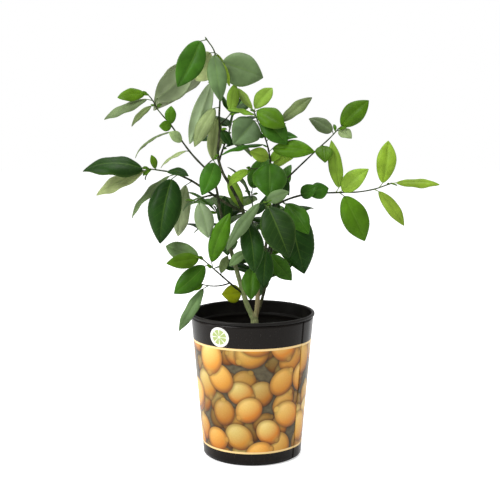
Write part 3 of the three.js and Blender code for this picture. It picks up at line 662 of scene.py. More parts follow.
class Nodes:
    """Short ways to place and join shader nodes in one tree."""

    def __init__(self, tree):
        self.tree = tree

    def node(self, kind, inputs=None, **settings):
        """A shader node. Each of its inputs takes a value or another node's output."""
        node = self.tree.nodes.new("ShaderNode" + kind)
        for key, value in settings.items():
            setattr(node, key, value)
        for key, value in (inputs or {}).items():
            self.put(node.inputs[key], value)
        return node

    def put(self, socket, value):
        if isinstance(value, bpy.types.NodeSocket):
            self.tree.links.new(value, socket)
        elif isinstance(value, tuple) and len(value) == 3 and socket.type == "RGBA":
            socket.default_value = (*value, 1)
        else:
            socket.default_value = value

    def math(self, operation, *values):
        return self.node("Math", dict(enumerate(values)), operation=operation).outputs[0]

    def plus(self, a, b):
        return self.math("ADD", a, b)

    def minus(self, a, b):
        return self.math("SUBTRACT", a, b)

    def times(self, a, b):
        return self.math("MULTIPLY", a, b)

    def over(self, a, b):
        return self.math("DIVIDE", a, b)

    def far(self, x, y):
        """How far the point x, y is from the middle."""
        return self.math("SQRT", self.plus(self.times(x, x), self.times(y, y)))

    def mix(self, factor, a, b, blend="MIX"):
        return self.node("Mix", {0: factor, 6: a, 7: b}, data_type="RGBA", blend_type=blend).outputs[2]

    def shaded(self, colour, shade):
        """A colour made darker or lighter by a value."""
        grey = self.node("CombineColor", {0: shade, 1: shade, 2: shade}).outputs[0]
        return self.mix(1.0, colour, grey, "MULTIPLY")

    def spread(self, value, low, high, to_low=0.0, to_high=1.0):
        """A value carried over from the span low to high to another span."""
        return self.node("MapRange", {0: value, 1: low, 2: high, 3: to_low, 4: to_high}).outputs[0]

    def noise(self, vector, scale, detail=3.0, roughness=0.5):
        inputs = {"Vector": vector, "Scale": scale, "Detail": detail, "Roughness": roughness}
        return self.node("TexNoise", inputs).outputs["Fac"]

    def place(self):
        return self.node("TexCoord").outputs["Object"]

    def streaked(self, vector, share):
        """The place drawn out upwards, so that a pattern on it runs in streaks."""
        return self.node("Mapping", {"Vector": vector, "Scale": (1.0, 1.0, share)}).outputs[0]

    def dealt(self):
        return self.node("Attribute", attribute_name="dealt_colour").outputs["Color"]

    def map(self, name):
        return self.node("UVMap", uv_map=name).outputs["UV"]

    def bump(self, height, strength, distance):
        return self.node("Bump", {"Strength": strength, "Distance": distance, "Height": height}).outputs[0]

    def skin(self, colour, roughness, shine, normal):
        return self.node("BsdfPrincipled", {"Base Color": colour, "Roughness": roughness,
                                            "Specular IOR Level": shine, "Normal": normal})


def new_group(name, inputs, outputs):
    """A shader node group with named sockets: inputs are (name, kind, value)."""
    tree = bpy.data.node_groups.new(name, "ShaderNodeTree")
    for label, kind, value in inputs:
        socket = tree.interface.new_socket(label, in_out="INPUT", socket_type=kind)
        if value is not None:
            socket.default_value = value
    for label, kind in outputs:
        tree.interface.new_socket(label, in_out="OUTPUT", socket_type=kind)
    return Nodes(tree), tree.nodes.new("NodeGroupInput").outputs, tree.nodes.new("NodeGroupOutput").inputs


VECTOR, FLOAT, COLOUR = "NodeSocketVector", "NodeSocketFloat", "NodeSocketColor"


def new_material(name):
    material = bpy.data.materials.new(name)
    material.use_nodes = True
    material.node_tree.nodes.clear()
    return material, Nodes(material.node_tree)


def finish_material(n, shader):
    n.put(n.node("OutputMaterial").inputs["Surface"], shader.outputs[0])


def leaf_skin_group():
    """A leaf's colour with its pale midrib, side veins and mottle, from the leaf's own map, and large lighter
    and darker patches that are partly the blade's own tone and partly painted sheen.
    """
    n, inp, out = new_group(
        "leaf_skin",
        [("Leaf Map", VECTOR, None), ("Place", VECTOR, None), ("Base", COLOUR, None),
         ("Vein Tint", COLOUR, None), ("Vein Share", FLOAT, 0.3), ("Rough", FLOAT, 0.4)],
        [("Colour", COLOUR), ("Roughness", FLOAT), ("Height", FLOAT)])
    t, v, _ = n.node("SeparateXYZ", {0: inp["Leaf Map"]}).outputs
    side = n.math("ABSOLUTE", n.times(n.minus(v, 0.5), 2.0))
    arch = n.math("SINE", n.times(t, math.pi))
    phase = n.times(n.minus(t, n.times(n.times(side, arch), VEIN_SLANT)), float(VEIN_COUNT))
    lateral = n.spread(n.math("ABSOLUTE", n.math("SINE", n.times(phase, math.pi))), 0.0, 0.16, 1.0, 0.0)
    faded = n.times(lateral, n.spread(side, 0.1, 0.95, 0.55, 0.0))
    rib = n.times(n.spread(side, 0.015, 0.06, 1.0, 0.0), n.spread(t, 0.0, 1.0, 1.0, 0.45))
    seen = n.times(n.math("MAXIMUM", rib, faded), inp["Vein Share"])
    mottle = n.noise(inp["Place"], 90.0, 4.0, 0.6)
    # Large lighter and darker patches: partly the blade's own tone, partly painted sheen
    cloud = n.noise(inp["Place"], 26.0, 1.0)
    fine = n.noise(inp["Place"], 380.0, 1.0)
    shade = n.times(n.spread(mottle, 0.3, 0.7, 0.84, 1.14), n.spread(cloud, 0.3, 0.7, 0.74, 1.26))
    colour = n.mix(seen, n.shaded(inp["Base"], shade), inp["Vein Tint"])
    n.put(out["Colour"], n.mix(n.spread(side, 0.86, 1.0, 0.0, 0.16), colour, inp["Vein Tint"]))
    n.put(out["Roughness"], n.plus(inp["Rough"], n.spread(mottle, 0.3, 0.7, -0.07, 0.07)))
    n.put(out["Height"], n.plus(n.times(fine, 0.2), n.times(mottle, 0.5)))
    return n.tree


# How much a blade's own colour is lifted where light comes through it
THROUGH_LEAF = (1.5, 1.5, 0.6)


def leaf_material(name, leaf_skin, vein_tint, vein_share, rough, shine, see_through, bump):
    material, n = new_material(name)
    dealt = n.dealt()
    skin = n.node("Group", node_tree=leaf_skin, inputs={
        "Leaf Map": n.map("LeafMap"), "Place": n.place(), "Base": dealt,
        "Vein Tint": vein_tint, "Vein Share": vein_share, "Rough": rough}).outputs
    normal = n.bump(skin["Height"], bump, 0.0006)
    wax = n.skin(skin["Colour"], skin["Roughness"], shine, normal)
    glow = n.node("BsdfTranslucent", {0: n.mix(1.0, dealt, THROUGH_LEAF, "MULTIPLY"), "Normal": normal})
    finish_material(n, n.node("MixShader", {0: see_through, 1: wax.outputs[0], 2: glow.outputs[0]}))
    return material


PALE_BARK = (0.30, 0.27, 0.17)
CORK = (0.36, 0.33, 0.24)


def bark_skin_group():
    """Bark's long streaks, pale patches and small corky spots."""
    n, inp, out = new_group(
        "bark_skin",
        [("Place", VECTOR, None), ("Base", COLOUR, None), ("Streaks", FLOAT, 900.0), ("Patches", FLOAT, 0.3),
         ("Spots", FLOAT, 0.3)],
        [("Colour", COLOUR), ("Height", FLOAT)])
    drawn_out = n.streaked(inp["Place"], 0.16)
    streak = n.noise(drawn_out, inp["Streaks"], 5.0, 0.65)
    cells = n.node("TexVoronoi", {"Vector": drawn_out, "Scale": 620.0}).outputs["Distance"]
    spots = n.times(n.spread(cells, 0.1, 0.22, 1.0, 0.0), inp["Spots"])
    patches = n.times(n.spread(n.noise(inp["Place"], 120.0), 0.45, 0.75), inp["Patches"])
    colour = n.shaded(inp["Base"], n.spread(streak, 0.3, 0.7, 0.6, 1.35))
    n.put(out["Colour"], n.mix(spots, n.mix(patches, colour, PALE_BARK), CORK))
    n.put(out["Height"], n.plus(streak, n.times(spots, 0.4)))
    return n.tree


def bark_material(name, bark_skin, streaks, patches, spots, rough, bump):
    material, n = new_material(name)
    skin = n.node("Group", node_tree=bark_skin, inputs={
        "Place": n.place(), "Base": n.dealt(), "Streaks": streaks, "Patches": patches,
        "Spots": spots}).outputs
    finish_material(n, n.skin(skin["Colour"], rough, 0.12, n.bump(skin["Height"], bump, 0.0005)))
    return material


CLEAN_BLACK = (0.008, 0.007, 0.006)
DUSTY_BLACK = (0.05, 0.044, 0.036)


def black_plastic_material():
    material, n = new_material("black_pot_plastic")
    place = n.place()
    grain = n.noise(place, 2600.0, 2.0)
    cloud = n.noise(place, 30.0, 4.0, 0.6)
    flow = n.noise(n.streaked(place, 0.08), 260.0)
    colour = n.mix(n.spread(cloud, 0.5, 0.8, 0.0, 0.22), CLEAN_BLACK, DUSTY_BLACK)
    normal = n.bump(n.plus(n.times(grain, 0.4), n.times(flow, 0.6)), 0.18, 0.0004)
    finish_material(n, n.skin(colour, n.spread(cloud, 0.3, 0.7, 0.30, 0.46), 0.14, normal))
    return material


# Colours of the printed fruit: its dark side, two ripe and two lit ones, its tip, pores, edge and gleam
FRUIT_DARK = (0.20, 0.050, 0.020)
FRUIT_RIPE = ((0.60, 0.190, 0.024), (0.64, 0.300, 0.044))
FRUIT_LIT = ((0.84, 0.460, 0.090), (0.78, 0.640, 0.200))
FRUIT_TIP = (0.46, 0.38, 0.09)
FRUIT_PEEL = (0.46, 0.18, 0.03)
FRUIT_EDGE = (0.14, 0.055, 0.022)
FRUIT_GLEAM = (0.95, 0.84, 0.58)


def fruit_layer_group():
    """One layer of lemons on a flat print: each cell of a loose grid holds one fruit."""
    n, inp, out = new_group(
        "fruit_layer",
        [("Print Map", VECTOR, None), ("Cells", FLOAT, 1.5), ("Turn", FLOAT, 0.0), ("Shift", VECTOR, None),
         ("Kept", FLOAT, 1.0), ("Bright", FLOAT, 1.0)],
        [("Fruit", COLOUR), ("Mask", FLOAT), ("Shadow", FLOAT)])

    def turned(vector, angle):
        return n.node("VectorRotate", {"Vector": vector, "Angle": angle}, rotation_type="Z_AXIS").outputs[0]

    def vector_math(operation, inputs):
        return n.node("VectorMath", inputs, operation=operation).outputs[0]

    moved = vector_math("ADD", {0: turned(inp["Print Map"], inp["Turn"]), 1: inp["Shift"]})
    cells = n.node("TexVoronoi", voronoi_dimensions="2D", inputs={
        "Vector": moved, "Scale": inp["Cells"], "Randomness": 0.14}).outputs
    in_cells = vector_math("SCALE", {
        0: vector_math("SUBTRACT", {0: moved, 1: cells["Position"]}), "Scale": inp["Cells"]})
    east, north, _ = n.node("SeparateXYZ", {0: turned(in_cells, n.times(inp["Turn"], -1.0))}).outputs
    one, two, three = n.node("SeparateColor", {0: cells["Color"]}).outputs
    size = n.spread(one, 0.0, 1.0, 0.29, 0.37)
    ox, oy = n.over(east, size), n.over(north, size)
    tilt = n.times(two, 2 * math.pi)
    c, s = n.math("COSINE", tilt), n.math("SINE", tilt)
    x = n.plus(n.times(ox, c), n.times(oy, s))
    y = n.minus(n.times(oy, c), n.times(ox, s))
    body = n.far(x, n.over(y, n.spread(three, 0.0, 1.0, 0.78, 0.92)))
    nipple = n.far(n.over(n.minus(x, 0.93), 0.17), n.over(y, 0.2))
    share = n.math("SMOOTH_MIN", body, nipple, 0.35)
    kept = n.math("LESS_THAN", three, inp["Kept"])
    dome = n.math("SQRT", n.math("MAXIMUM", n.minus(1.0, n.times(body, body)), 0.0))
    light = n.plus(n.plus(n.times(ox, -0.3), n.times(oy, 0.6)), n.times(dome, 0.62))
    lit = n.spread(light, -0.55, 0.95)
    fruit = n.mix(n.spread(lit, 0.0, 0.50), FRUIT_DARK, n.mix(one, *FRUIT_RIPE))
    fruit = n.mix(n.spread(lit, 0.5, 1.0), fruit, n.mix(two, *FRUIT_LIT))
    fruit = n.mix(n.spread(nipple, 0.4, 2.6, 0.4, 0.0), fruit, FRUIT_TIP)
    fruit = n.mix(n.spread(n.noise(moved, 55.0), 0.4, 0.75, 0.0, 0.22), fruit, FRUIT_PEEL)
    fruit = n.mix(n.spread(share, 0.7, 1.0, 0.0, 0.6), fruit, FRUIT_EDGE)
    gleam = n.math("MINIMUM", n.math("POWER", n.math("MAXIMUM", light, 0.0), 14.0), 1.0)
    fruit = n.mix(n.times(gleam, n.spread(body, 0.6, 0.9, 0.65, 0.0)), fruit, FRUIT_GLEAM)
    n.put(out["Fruit"], n.shaded(fruit, inp["Bright"]))
    n.put(out["Mask"], n.times(n.spread(share, 0.96, 1.0, 1.0, 0.0), kept))
    n.put(out["Shadow"], n.times(n.spread(share, 0.9, 1.16, 0.85, 0.0), kept))
    return n.tree


# Heights of the wrap's printed lines, and the round mark on its top band, all in millimetres.
# Lengths round the wrap are counted from the front, at PRINT_RADIUS. PRINT_UNIT is one step of its map.
PRINT_UNIT = 100.0
PRINT_RADIUS = 74.0
LINE_LOW = (16.6, 19.2)
LINE_HIGH = (156.2, 159.0)
MARK_ANGLE = 328
MARK_HEIGHT = 172.4
MARK_RADIUS = 13.2
MARK_RIND, MARK_MIDDLE = 0.74, 0.12
BAND_BLACK = (0.006, 0.0042, 0.003)
LINE_GOLD = (0.80, 0.58, 0.26)
MARK_TINTS = ((0.82, 0.81, 0.76), (0.36, 0.44, 0.16))
PRINT_GAPS = ((0.030, 0.023, 0.014), (0.150, 0.125, 0.070))
UNDER_FRUIT = (0.030, 0.017, 0.010)
SCUFF = (0.5, 0.47, 0.42)
# A layer is (cells in a unit of the map, turn, shift, share of cells with a fruit, brightness)
LEMON_LAYERS = [
    (2.05, 0.4, (3.3, 1.7, 0), 1.0, 0.26), (1.95, 1.1, (8.1, 5.2, 0), 1.0, 0.36),
    (1.85, 1.9, (13.4, 9.6, 0), 1.0, 0.48), (1.75, 2.6, (2.9, 17.3, 0), 1.0, 0.60),
    (1.70, 0.15, (21.6, 4.9, 0), 0.95, 0.74), (1.62, 0.85, (6.2, 25.1, 0), 0.9, 0.86),
    (1.55, 1.45, (17.3, 12.6, 0), 0.8, 0.95), (1.48, 2.2, (9.7, 31.4, 0), 0.6, 1.0),
]


def wrap_material():
    material, n = new_material("printed_wrap_film")
    place = n.place()
    uv = n.map("PrintMap")
    layer = fruit_layer_group()
    u, v, _ = n.node("SeparateXYZ", {0: uv}).outputs
    u, v = n.times(u, PRINT_UNIT), n.times(v, PRINT_UNIT)
    picture = n.mix(n.noise(uv, 14.0), *PRINT_GAPS)
    for cells, turn, shift, kept, bright in LEMON_LAYERS:
        one = n.node("Group", node_tree=layer, inputs={
            "Print Map": uv, "Cells": cells, "Turn": turn, "Shift": shift, "Kept": kept,
            "Bright": bright}).outputs
        picture = n.mix(one["Mask"], n.mix(one["Shadow"], picture, UNDER_FRUIT), one["Fruit"])

    def between(low, high):
        return n.times(n.math("GREATER_THAN", v, low), n.math("LESS_THAN", v, high))

    colour = n.mix(between(LINE_LOW[1], LINE_HIGH[0]), BAND_BLACK, picture)
    colour = n.mix(n.math("MAXIMUM", between(*LINE_LOW), between(*LINE_HIGH)), colour, LINE_GOLD)
    ox = n.over(n.minus(u, math.radians(MARK_ANGLE) * PRINT_RADIUS), MARK_RADIUS)
    oy = n.over(n.minus(v, MARK_HEIGHT), MARK_RADIUS)
    away = n.far(ox, oy)
    spoke = n.math("ABSOLUTE", n.math("SINE", n.times(n.math("ARCTAN2", oy, ox), 4.0)))
    in_ring = n.times(n.math("LESS_THAN", away, MARK_RIND), n.math("GREATER_THAN", away, MARK_MIDDLE))
    mark = n.mix(n.times(n.spread(spoke, 0.2, 0.32), in_ring), *MARK_TINTS)
    colour = n.mix(n.spread(away, 0.97, 1.0, 1.0, 0.0), colour, mark)
    scuff = n.spread(n.noise(place, 420.0, 5.0, 0.7), 0.62, 0.74)
    colour = n.mix(n.times(scuff, 0.06), colour, SCUFF)
    normal = n.bump(n.noise(n.streaked(place, 0.3), 34.0, 2.0), 0.12, 0.002)
    finish_material(n, n.skin(colour, n.plus(n.times(scuff, 0.15), 0.27), 0.15, normal))
    return material


def soil_crumbs_group():
    """Crumbs and damp patches in potting soil, bark chips and perlite."""
    n, inp, out = new_group(
        "soil_crumbs",
        [("Place", VECTOR, None), ("Dark", COLOUR, None), ("Light", COLOUR, None)],
        [("Colour", COLOUR), ("Height", FLOAT)])
    crumb = n.noise(inp["Place"], 420.0, 6.0, 0.7)
    damp = n.spread(n.noise(inp["Place"], 60.0), 0.5, 0.75, 1.0, 0.6)
    n.put(out["Colour"], n.shaded(n.mix(n.spread(crumb, 0.32, 0.68), inp["Dark"], inp["Light"]), damp))
    n.put(out["Height"], crumb)
    return n.tree


def soil_material(name, soil_crumbs, dark, light, rough):
    material, n = new_material(name)
    crumbs = n.node("Group", node_tree=soil_crumbs, inputs={
        "Place": n.place(), "Dark": dark, "Light": light}).outputs
    finish_material(n, n.skin(crumbs["Colour"], rough, 0.5, n.bump(crumbs["Height"], 0.7, 0.0015)))
    return material


# Pot, wrap and soil

ROUND = 160
DRAIN_SIDES = 24
DRAIN_CUT = 6
# Outlines are radius and height. The underside runs from its middle out over a shallow groove.
FOOT_PROFILE = [(0, 0), (30, 0), (58, 0), (61, 0.5), (62.5, 0)]
FOOT_ROUND = 2.2
LIP_UNDER_ROUND = 1.1
LIP_ROUND = 2.0
LIP_INNER_ROUND = 1.6
FLOOR_ROUND = 3
# How far in and how high the ridge inside the pot stands, from its top edge to its lower one
RIDGE_PROFILE = [(0.9, 0.9), (1.35, 0.1), (1.4, -1.8), (1.0, -2.7)]


def wall_radius(z):
    return WALL_FOOT_RADIUS + (WALL_TOP_RADIUS - WALL_FOOT_RADIUS) * z / (POT_HEIGHT - LIP_DROP)


def inner_radius(z):
    return wall_radius(z) - WALL


def level_ring(sides, radius, z, x=0, y=0):
    """A level ring of points round x, y."""
    return [(x + radius * math.cos(a), y + radius * math.sin(a), z) for a in angles_round(sides)]


def arc(cx, cz, radius, start, end, steps):
    return [(cx + radius * math.cos(math.radians(a)), cz + radius * math.sin(math.radians(a)))
            for a in np.linspace(start, end, steps)]


def make_pot():
    """The shell, turned from its outline, with its drain holes cut."""
    under = POT_HEIGHT - LIP_DROP
    ridge = POT_HEIGHT - RIDGE_DEPTH
    profile = FOOT_PROFILE + arc(wall_radius(2) - FOOT_ROUND, FOOT_ROUND, FOOT_ROUND, -90, -3, 7)
    profile += [(wall_radius(z), z) for z in np.linspace(6, under - 0.4, 24)]
    profile += arc(LIP_RADIUS - LIP_UNDER_ROUND, under + LIP_UNDER_ROUND, LIP_UNDER_ROUND, -90, 0, 6)
    lip_middle = POT_HEIGHT - LIP_ROUND
    profile += arc(LIP_RADIUS - LIP_ROUND, lip_middle, LIP_ROUND, 0, 90, 9)
    profile += arc(inner_radius(under) + LIP_INNER_ROUND, lip_middle, LIP_INNER_ROUND, 100, 180, 7)
    profile += [(inner_radius(z), z) for z in (POT_HEIGHT - 5, POT_HEIGHT - 10, ridge + 2.4, ridge + 1.4)]
    profile += [(inner_radius(ridge) - reach, ridge + rise) for reach, rise in RIDGE_PROFILE]
    profile += [(inner_radius(z), z) for z in (ridge - 3.4, *np.linspace(ridge - 8, 12, 14))]
    profile += arc(inner_radius(FLOOR + FLOOR_ROUND) - 3.4, FLOOR + FLOOR_ROUND, FLOOR_ROUND, 0, -90, 6)
    profile += [(50, FLOOR), (0, FLOOR)]
    surface = Surface()
    surface.add_rings([level_ring(ROUND, r, z) for r, z in profile[1:-1]],
                      ends=[(0, 0, profile[0][1]), (0, 0, profile[-1][1])])
    shell = surface.make("pot_shell", [black_plastic_material()])
    for i, (x, y, _) in enumerate(level_ring(DRAIN_COUNT, DRAIN_CIRCLE, 0)):
        cutter = Surface()
        cutter.add_rings([level_ring(DRAIN_SIDES, DRAIN_RADIUS, z, x, y) for z in (-DRAIN_CUT, DRAIN_CUT)])
        tool = cutter.make(f"drain_cutter_{i}", [])
        cut = shell.modifiers.new("drain", "BOOLEAN")
        cut.object, cut.solver = tool, "EXACT"
        apply_modifiers(shell)
        bpy.data.objects.remove(tool)
    return shell


WRAP_ROWS = 56
WRAP_COLUMNS = 288
LAP_EASE = 0.25
RIPPLE = 0.10


def make_wrap():
    """The printed film, with its free end lapped over and standing a little proud."""
    count = WRAP_COLUMNS + 1
    total = WRAP_ROWS * count
    half = LAP_WIDTH / 2 / WALL_TOP_RADIUS
    start = math.radians(LAP_ANGLE) - half
    z = np.linspace(WRAP_FOOT, WRAP_TOP, WRAP_ROWS)
    a = start + 2 * np.pi * np.arange(count) / WRAP_COLUMNS
    past = a - start
    ease = np.clip((past - 2 * half) / LAP_EASE, 0, 1)
    lift = np.where(past < 2 * half, 1.0, 1 - (3 * ease ** 2 - 2 * ease ** 3))
    inside = wall_radius(z)[:, None] + GAP
    ripple = RIPPLE * np.sin(9 * a)[None, :] * np.sin(z / 27)[:, None]
    outer = inside + WRAP_THICK * (1 + 0.96 * lift)[None, :] + np.minimum(ripple, 0.0)

    def skin(r):
        return np.stack(np.broadcast_arrays(r * np.cos(a), r * np.sin(a), z[:, None]), -1)

    grid = grid_faces(WRAP_ROWS, count)
    index = np.arange(total).reshape(WRAP_ROWS, count)
    edges = [(index[0, :], True), (index[-1, :], False), (index[:, 0], False), (index[:, -1], True)]
    rims = []
    for edge, flip in edges:
        quad = np.stack([edge[:-1], edge[1:], edge[1:] + total, edge[:-1] + total], -1)
        rims.append(quad[:, ::-1] if flip else quad)
    faces = np.vstack([grid, grid[:, ::-1] + total] + rims)
    u = (a - math.radians(-90)) * PRINT_RADIUS / PRINT_UNIT
    uv = np.stack([np.tile(u, WRAP_ROWS), np.repeat(z / PRINT_UNIT, count)], -1)
    surface = Surface()
    surface.add([skin(outer), skin(inside)], faces, PrintMap=uv[faces.ravel() % total])
    return surface.make("wrap_film", [wrap_material()])


SOIL_RINGS = 44
SOIL_SIDES = 120
SOIL_EDGE = inner_radius(SOIL_TOP) - GAP - 0.2
# How deep the soil dips halfway out, how high it is banked at the wall, and how high its bumps are
SOIL_DIP = 1.2
SOIL_BANK = 2.6
SOIL_BUMP = 0.22
CHIP_COUNT = 150
CHIP_ROWS = 6
CHIP_SIDES = 8


def make_soil(random):
    """The potting mix, with its small bumps, and the chips that lie on it."""
    seeds = [(random() * 6.28, 0.04 + 0.3 * random(), 6.28 * random()) for _ in range(14)]

    def height(x, y):
        r = math.hypot(x, y)
        dip = SOIL_DIP * math.sin(min(1, r / 50) * math.pi)
        z = SOIL_TOP - dip + SOIL_BANK * max(0, (r - 52) / 24) ** 1.5
        bumps = sum(math.sin(x * w * math.cos(d) + y * w * math.sin(d) + p) for d, w, p in seeds)
        return z + SOIL_BUMP * bumps * min(1, max(0, (r - 11) / 14))

    rings = [[(x, y, height(x, y)) for x, y, _ in level_ring(SOIL_SIDES, SOIL_EDGE * i / SOIL_RINGS, 0)]
             for i in range(1, SOIL_RINGS + 1)]
    low = SOIL_TOP - 14
    foot = FLOOR + GAP + 0.2
    rings.append(level_ring(SOIL_SIDES, inner_radius(low) - GAP, low))
    rings.append(level_ring(SOIL_SIDES, inner_radius(foot) - 4, foot))
    surface = Surface()
    surface.add_rings(rings, ends=[(0, 0, SOIL_TOP), (0, 0, foot)], flip=True)
    crumbs = soil_crumbs_group()
    mix = soil_material("potting_soil_mix", crumbs, dark=(0.016, 0.010, 0.007), light=(0.085, 0.055, 0.035),
                        rough=0.95)
    return surface.make("potting_soil", [mix]), make_chips(random, height, crumbs)


def make_chips(random, height, crumbs):
    """Bark chips on the soil, and a crumb of perlite for every four of them."""
    chips = Surface()
    for kind in range(CHIP_COUNT):
        r = 14 + (SOIL_EDGE - 20) * math.sqrt(random())
        b = 6.28 * random()
        x, y = r * math.cos(b), r * math.sin(b)
        pale = kind % 5 == 0
        if pale:
            size = (1.2 + 1.2 * random(), 1.2 + random(), 1.1)
        else:
            size = (2.2 + 4 * random(), 1.6 + 2 * random(), 0.9 + random())
        turn = 6.28 * random()
        tilt = 0.5 * (random() - 0.5)
        base = height(x, y) + 0.3
        rings = []
        for v in np.linspace(-1, 1, CHIP_ROWS):
            ring = []
            for h in angles_round(CHIP_SIDES):
                rough = math.sqrt(max(0.05, 1 - v * v)) * (0.8 + 0.35 * random())
                px, py = size[0] * rough * math.cos(h), size[1] * rough * math.sin(h)
                east = x + px * math.cos(turn) - py * math.sin(turn)
                north = y + px * math.sin(turn) + py * math.cos(turn)
                ring.append((east, north, base + size[2] * v + px * tilt))
            rings.append(ring)
        chips.add_rings(rings, slot=int(pale))
    bark = soil_material("bark_chip", crumbs, dark=(0.05, 0.026, 0.014), light=(0.17, 0.095, 0.055),
                         rough=0.9)
    perlite = soil_material("perlite_crumb", crumbs, dark=(0.42, 0.40, 0.36), light=(0.62, 0.60, 0.55),
                            rough=0.9)
    return chips.make("soil_chips", [bark, perlite])


# Limbs, twigs and leaves

LIMB_COLOURS = {
    "trunk": (0.255, 0.290, 0.125), "left_stem": (0.270, 0.330, 0.135), "centre_stem": (0.330, 0.280, 0.140),
    "right_stem": (0.045, 0.052, 0.020), "inner_stem": (0.055, 0.080, 0.022), "leader": (0.045, 0.066, 0.020),
    "left_bough": (0.040, 0.060, 0.018),
}
HIGH_BARK = (0.022, 0.030, 0.010)
TWIG_OLD = (0.016, 0.023, 0.007)
TWIG_YOUNG = (0.040, 0.072, 0.014)
PETIOLE_GREEN = (0.050, 0.095, 0.018)
PETIOLE_PALE = (0.160, 0.260, 0.035)
SHOOTS_BELOW = 525
SHOOT_DROOP = 40
SHOOT_RADIUS = 0.42

# Steps along and sides round a limb, a twig and a leaf's stalk, and sides round the smallest rods
LIMB_MESH = (60, 20)
TWIG_MESH = (44, 9)
STALK_MESH = (16, 8)
BUD_SIDES = 7
SHOOT_SIDES = 6

# The bark skin's grain in metres, and a limb's foot: its share of the length and how much wider it is
BARK_GRAIN = 0.00055
LIMB_FOOT = (0.06, 1.16)
# Height at which the fissured bark ends, and at which the dark bark starts, with how far each fades
OLD_BARK_TOP = (215, 50)
HIGH_BARK_FROM = (205, 85)
# How much nearer the trunk counts than the other limbs, and the blocks in which colours are blurred
TRUNK_COLOUR_REACH = 2.5
BLUR_BLOCK = 6.0


def smooth_path(points, steps):
    """A finer path through the same points."""
    points = np.array(points)
    padded = np.vstack([2 * points[0] - points[1], points, 2 * points[-1] - points[-2]])
    out = []
    for k in range(steps + 1):
        x = k / steps * (len(points) - 1)
        i = min(int(x), len(points) - 2)
        f = x - i
        a, b, c, d = padded[i:i + 4]
        bend, twist = 2 * a - 5 * b + 4 * c - d, 3 * b - a - 3 * c + d
        out.append(0.5 * (2 * b + (c - a) * f + bend * f ** 2 + twist * f ** 3))
    return np.array(out)


def blurred(co, tint):
    """Averages a tint over small blocks of space, so that one limb's colour runs into the next."""
    keys = np.floor(co / BLUR_BLOCK).astype(int)
    _, index = np.unique(keys, axis=0, return_inverse=True)
    index = index.ravel()
    total = np.zeros((index.max() + 1, 3))
    np.add.at(total, index, tint)
    return (total / np.bincount(index)[:, None])[index]


def limb_tint(co, paths):
    """The colour of the limb that each point lies on, blurred at the forks and dark higher up."""
    best = np.full(len(co), 1e9)
    tint = np.zeros((len(co), 3))
    for name, path in paths.items():
        reach = TRUNK_COLOUR_REACH if name == "trunk" else 0
        for p in smooth_path(path, 40):
            d = np.linalg.norm(co - p, axis=1) - reach
            near = d < best
            best[near] = d[near]
            tint[near] = LIMB_COLOURS[name]
    for _ in range(3):
        tint = 0.5 * tint + 0.5 * blurred(co, tint)
    high = np.clip((co[:, 2] - HIGH_BARK_FROM[0]) / HIGH_BARK_FROM[1], 0, 1)[:, None]
    return tint + (np.array(HIGH_BARK) - tint) * high


def bark_relief(co):
    """How far the bark stands out: grooves low down, and shallow lumps all over."""
    x, y, z = co.T
    angle = np.arctan2(y, x - TRUNK_FOOT_X)
    old = np.clip((OLD_BARK_TOP[0] - z) / OLD_BARK_TOP[1], 0, 1)
    groove = np.sin(angle * 9 + np.sin(z / 5) * 1.4) * np.sin(z / 3.1 + 2 * np.sin(angle * 3))
    lump = np.sin(x * 1.1 + z * 0.31) * np.sin(y * 1.3 - z * 0.23)
    return 0.28 * old * groove + 0.10 * lump


def make_bark(paths, bark_skin):
    """Trunk and boughs as one skin, with its forks grown together and the bark's relief."""
    surface = Surface()
    for name, (on, at, lean, towards, length, radii) in LIMBS.items():
        taper = tapering(radii)

        def radius(t, a):
            if name != "trunk":
                return taper(t, a) * (LIMB_FOOT[1] if t < LIMB_FOOT[0] else 1)
            lobes = 1 + 0.35 * math.cos(ROOT_LOBES * a)
            return taper(t, a) + ROOT_FLARE * math.exp(-t / ROOT_FLARE_SHARE) * lobes

        path = smooth_path(paths[name], LIMB_MESH[0])
        if on == "trunk":
            path = np.vstack([paths["trunk"][-1] - np.array([0, 0, 5.0]), path])
        add_rod(surface, path, LIMB_MESH[1], radius, (1, 1, 1))
    piece = surface.make("bark_trunk_and_boughs", [])
    remesh = piece.modifiers.new("grown_together", "REMESH")
    remesh.mode, remesh.voxel_size = "VOXEL", BARK_GRAIN
    soft = piece.modifiers.new("soften", "SMOOTH")
    soft.factor, soft.iterations = 0.5, 4
    mesh = apply_modifiers(piece)

    def read(what):
        values = np.empty(len(mesh.vertices) * 3)
        mesh.vertices.foreach_get(what, values)
        return values.reshape(-1, 3)

    co, normals = read("co") / MM, read("normal")
    tint = limb_tint(co, paths)
    co = co + normals * bark_relief(co)[:, None]
    co[:, 2] = np.maximum(co[:, 2], SOIL_TOP + GAP)
    mesh.vertices.foreach_set("co", (co * MM).ravel())
    deal_colour(mesh, tint)
    mesh.materials.clear()
    mesh.materials.append(bark_material(
        "young_citrus_bark", bark_skin, streaks=900.0, patches=0.22, spots=0.4, rough=0.62, bump=0.5))
    mesh.polygons.foreach_set("use_smooth", np.full(len(mesh.polygons), True))
    mesh.update()
    return piece


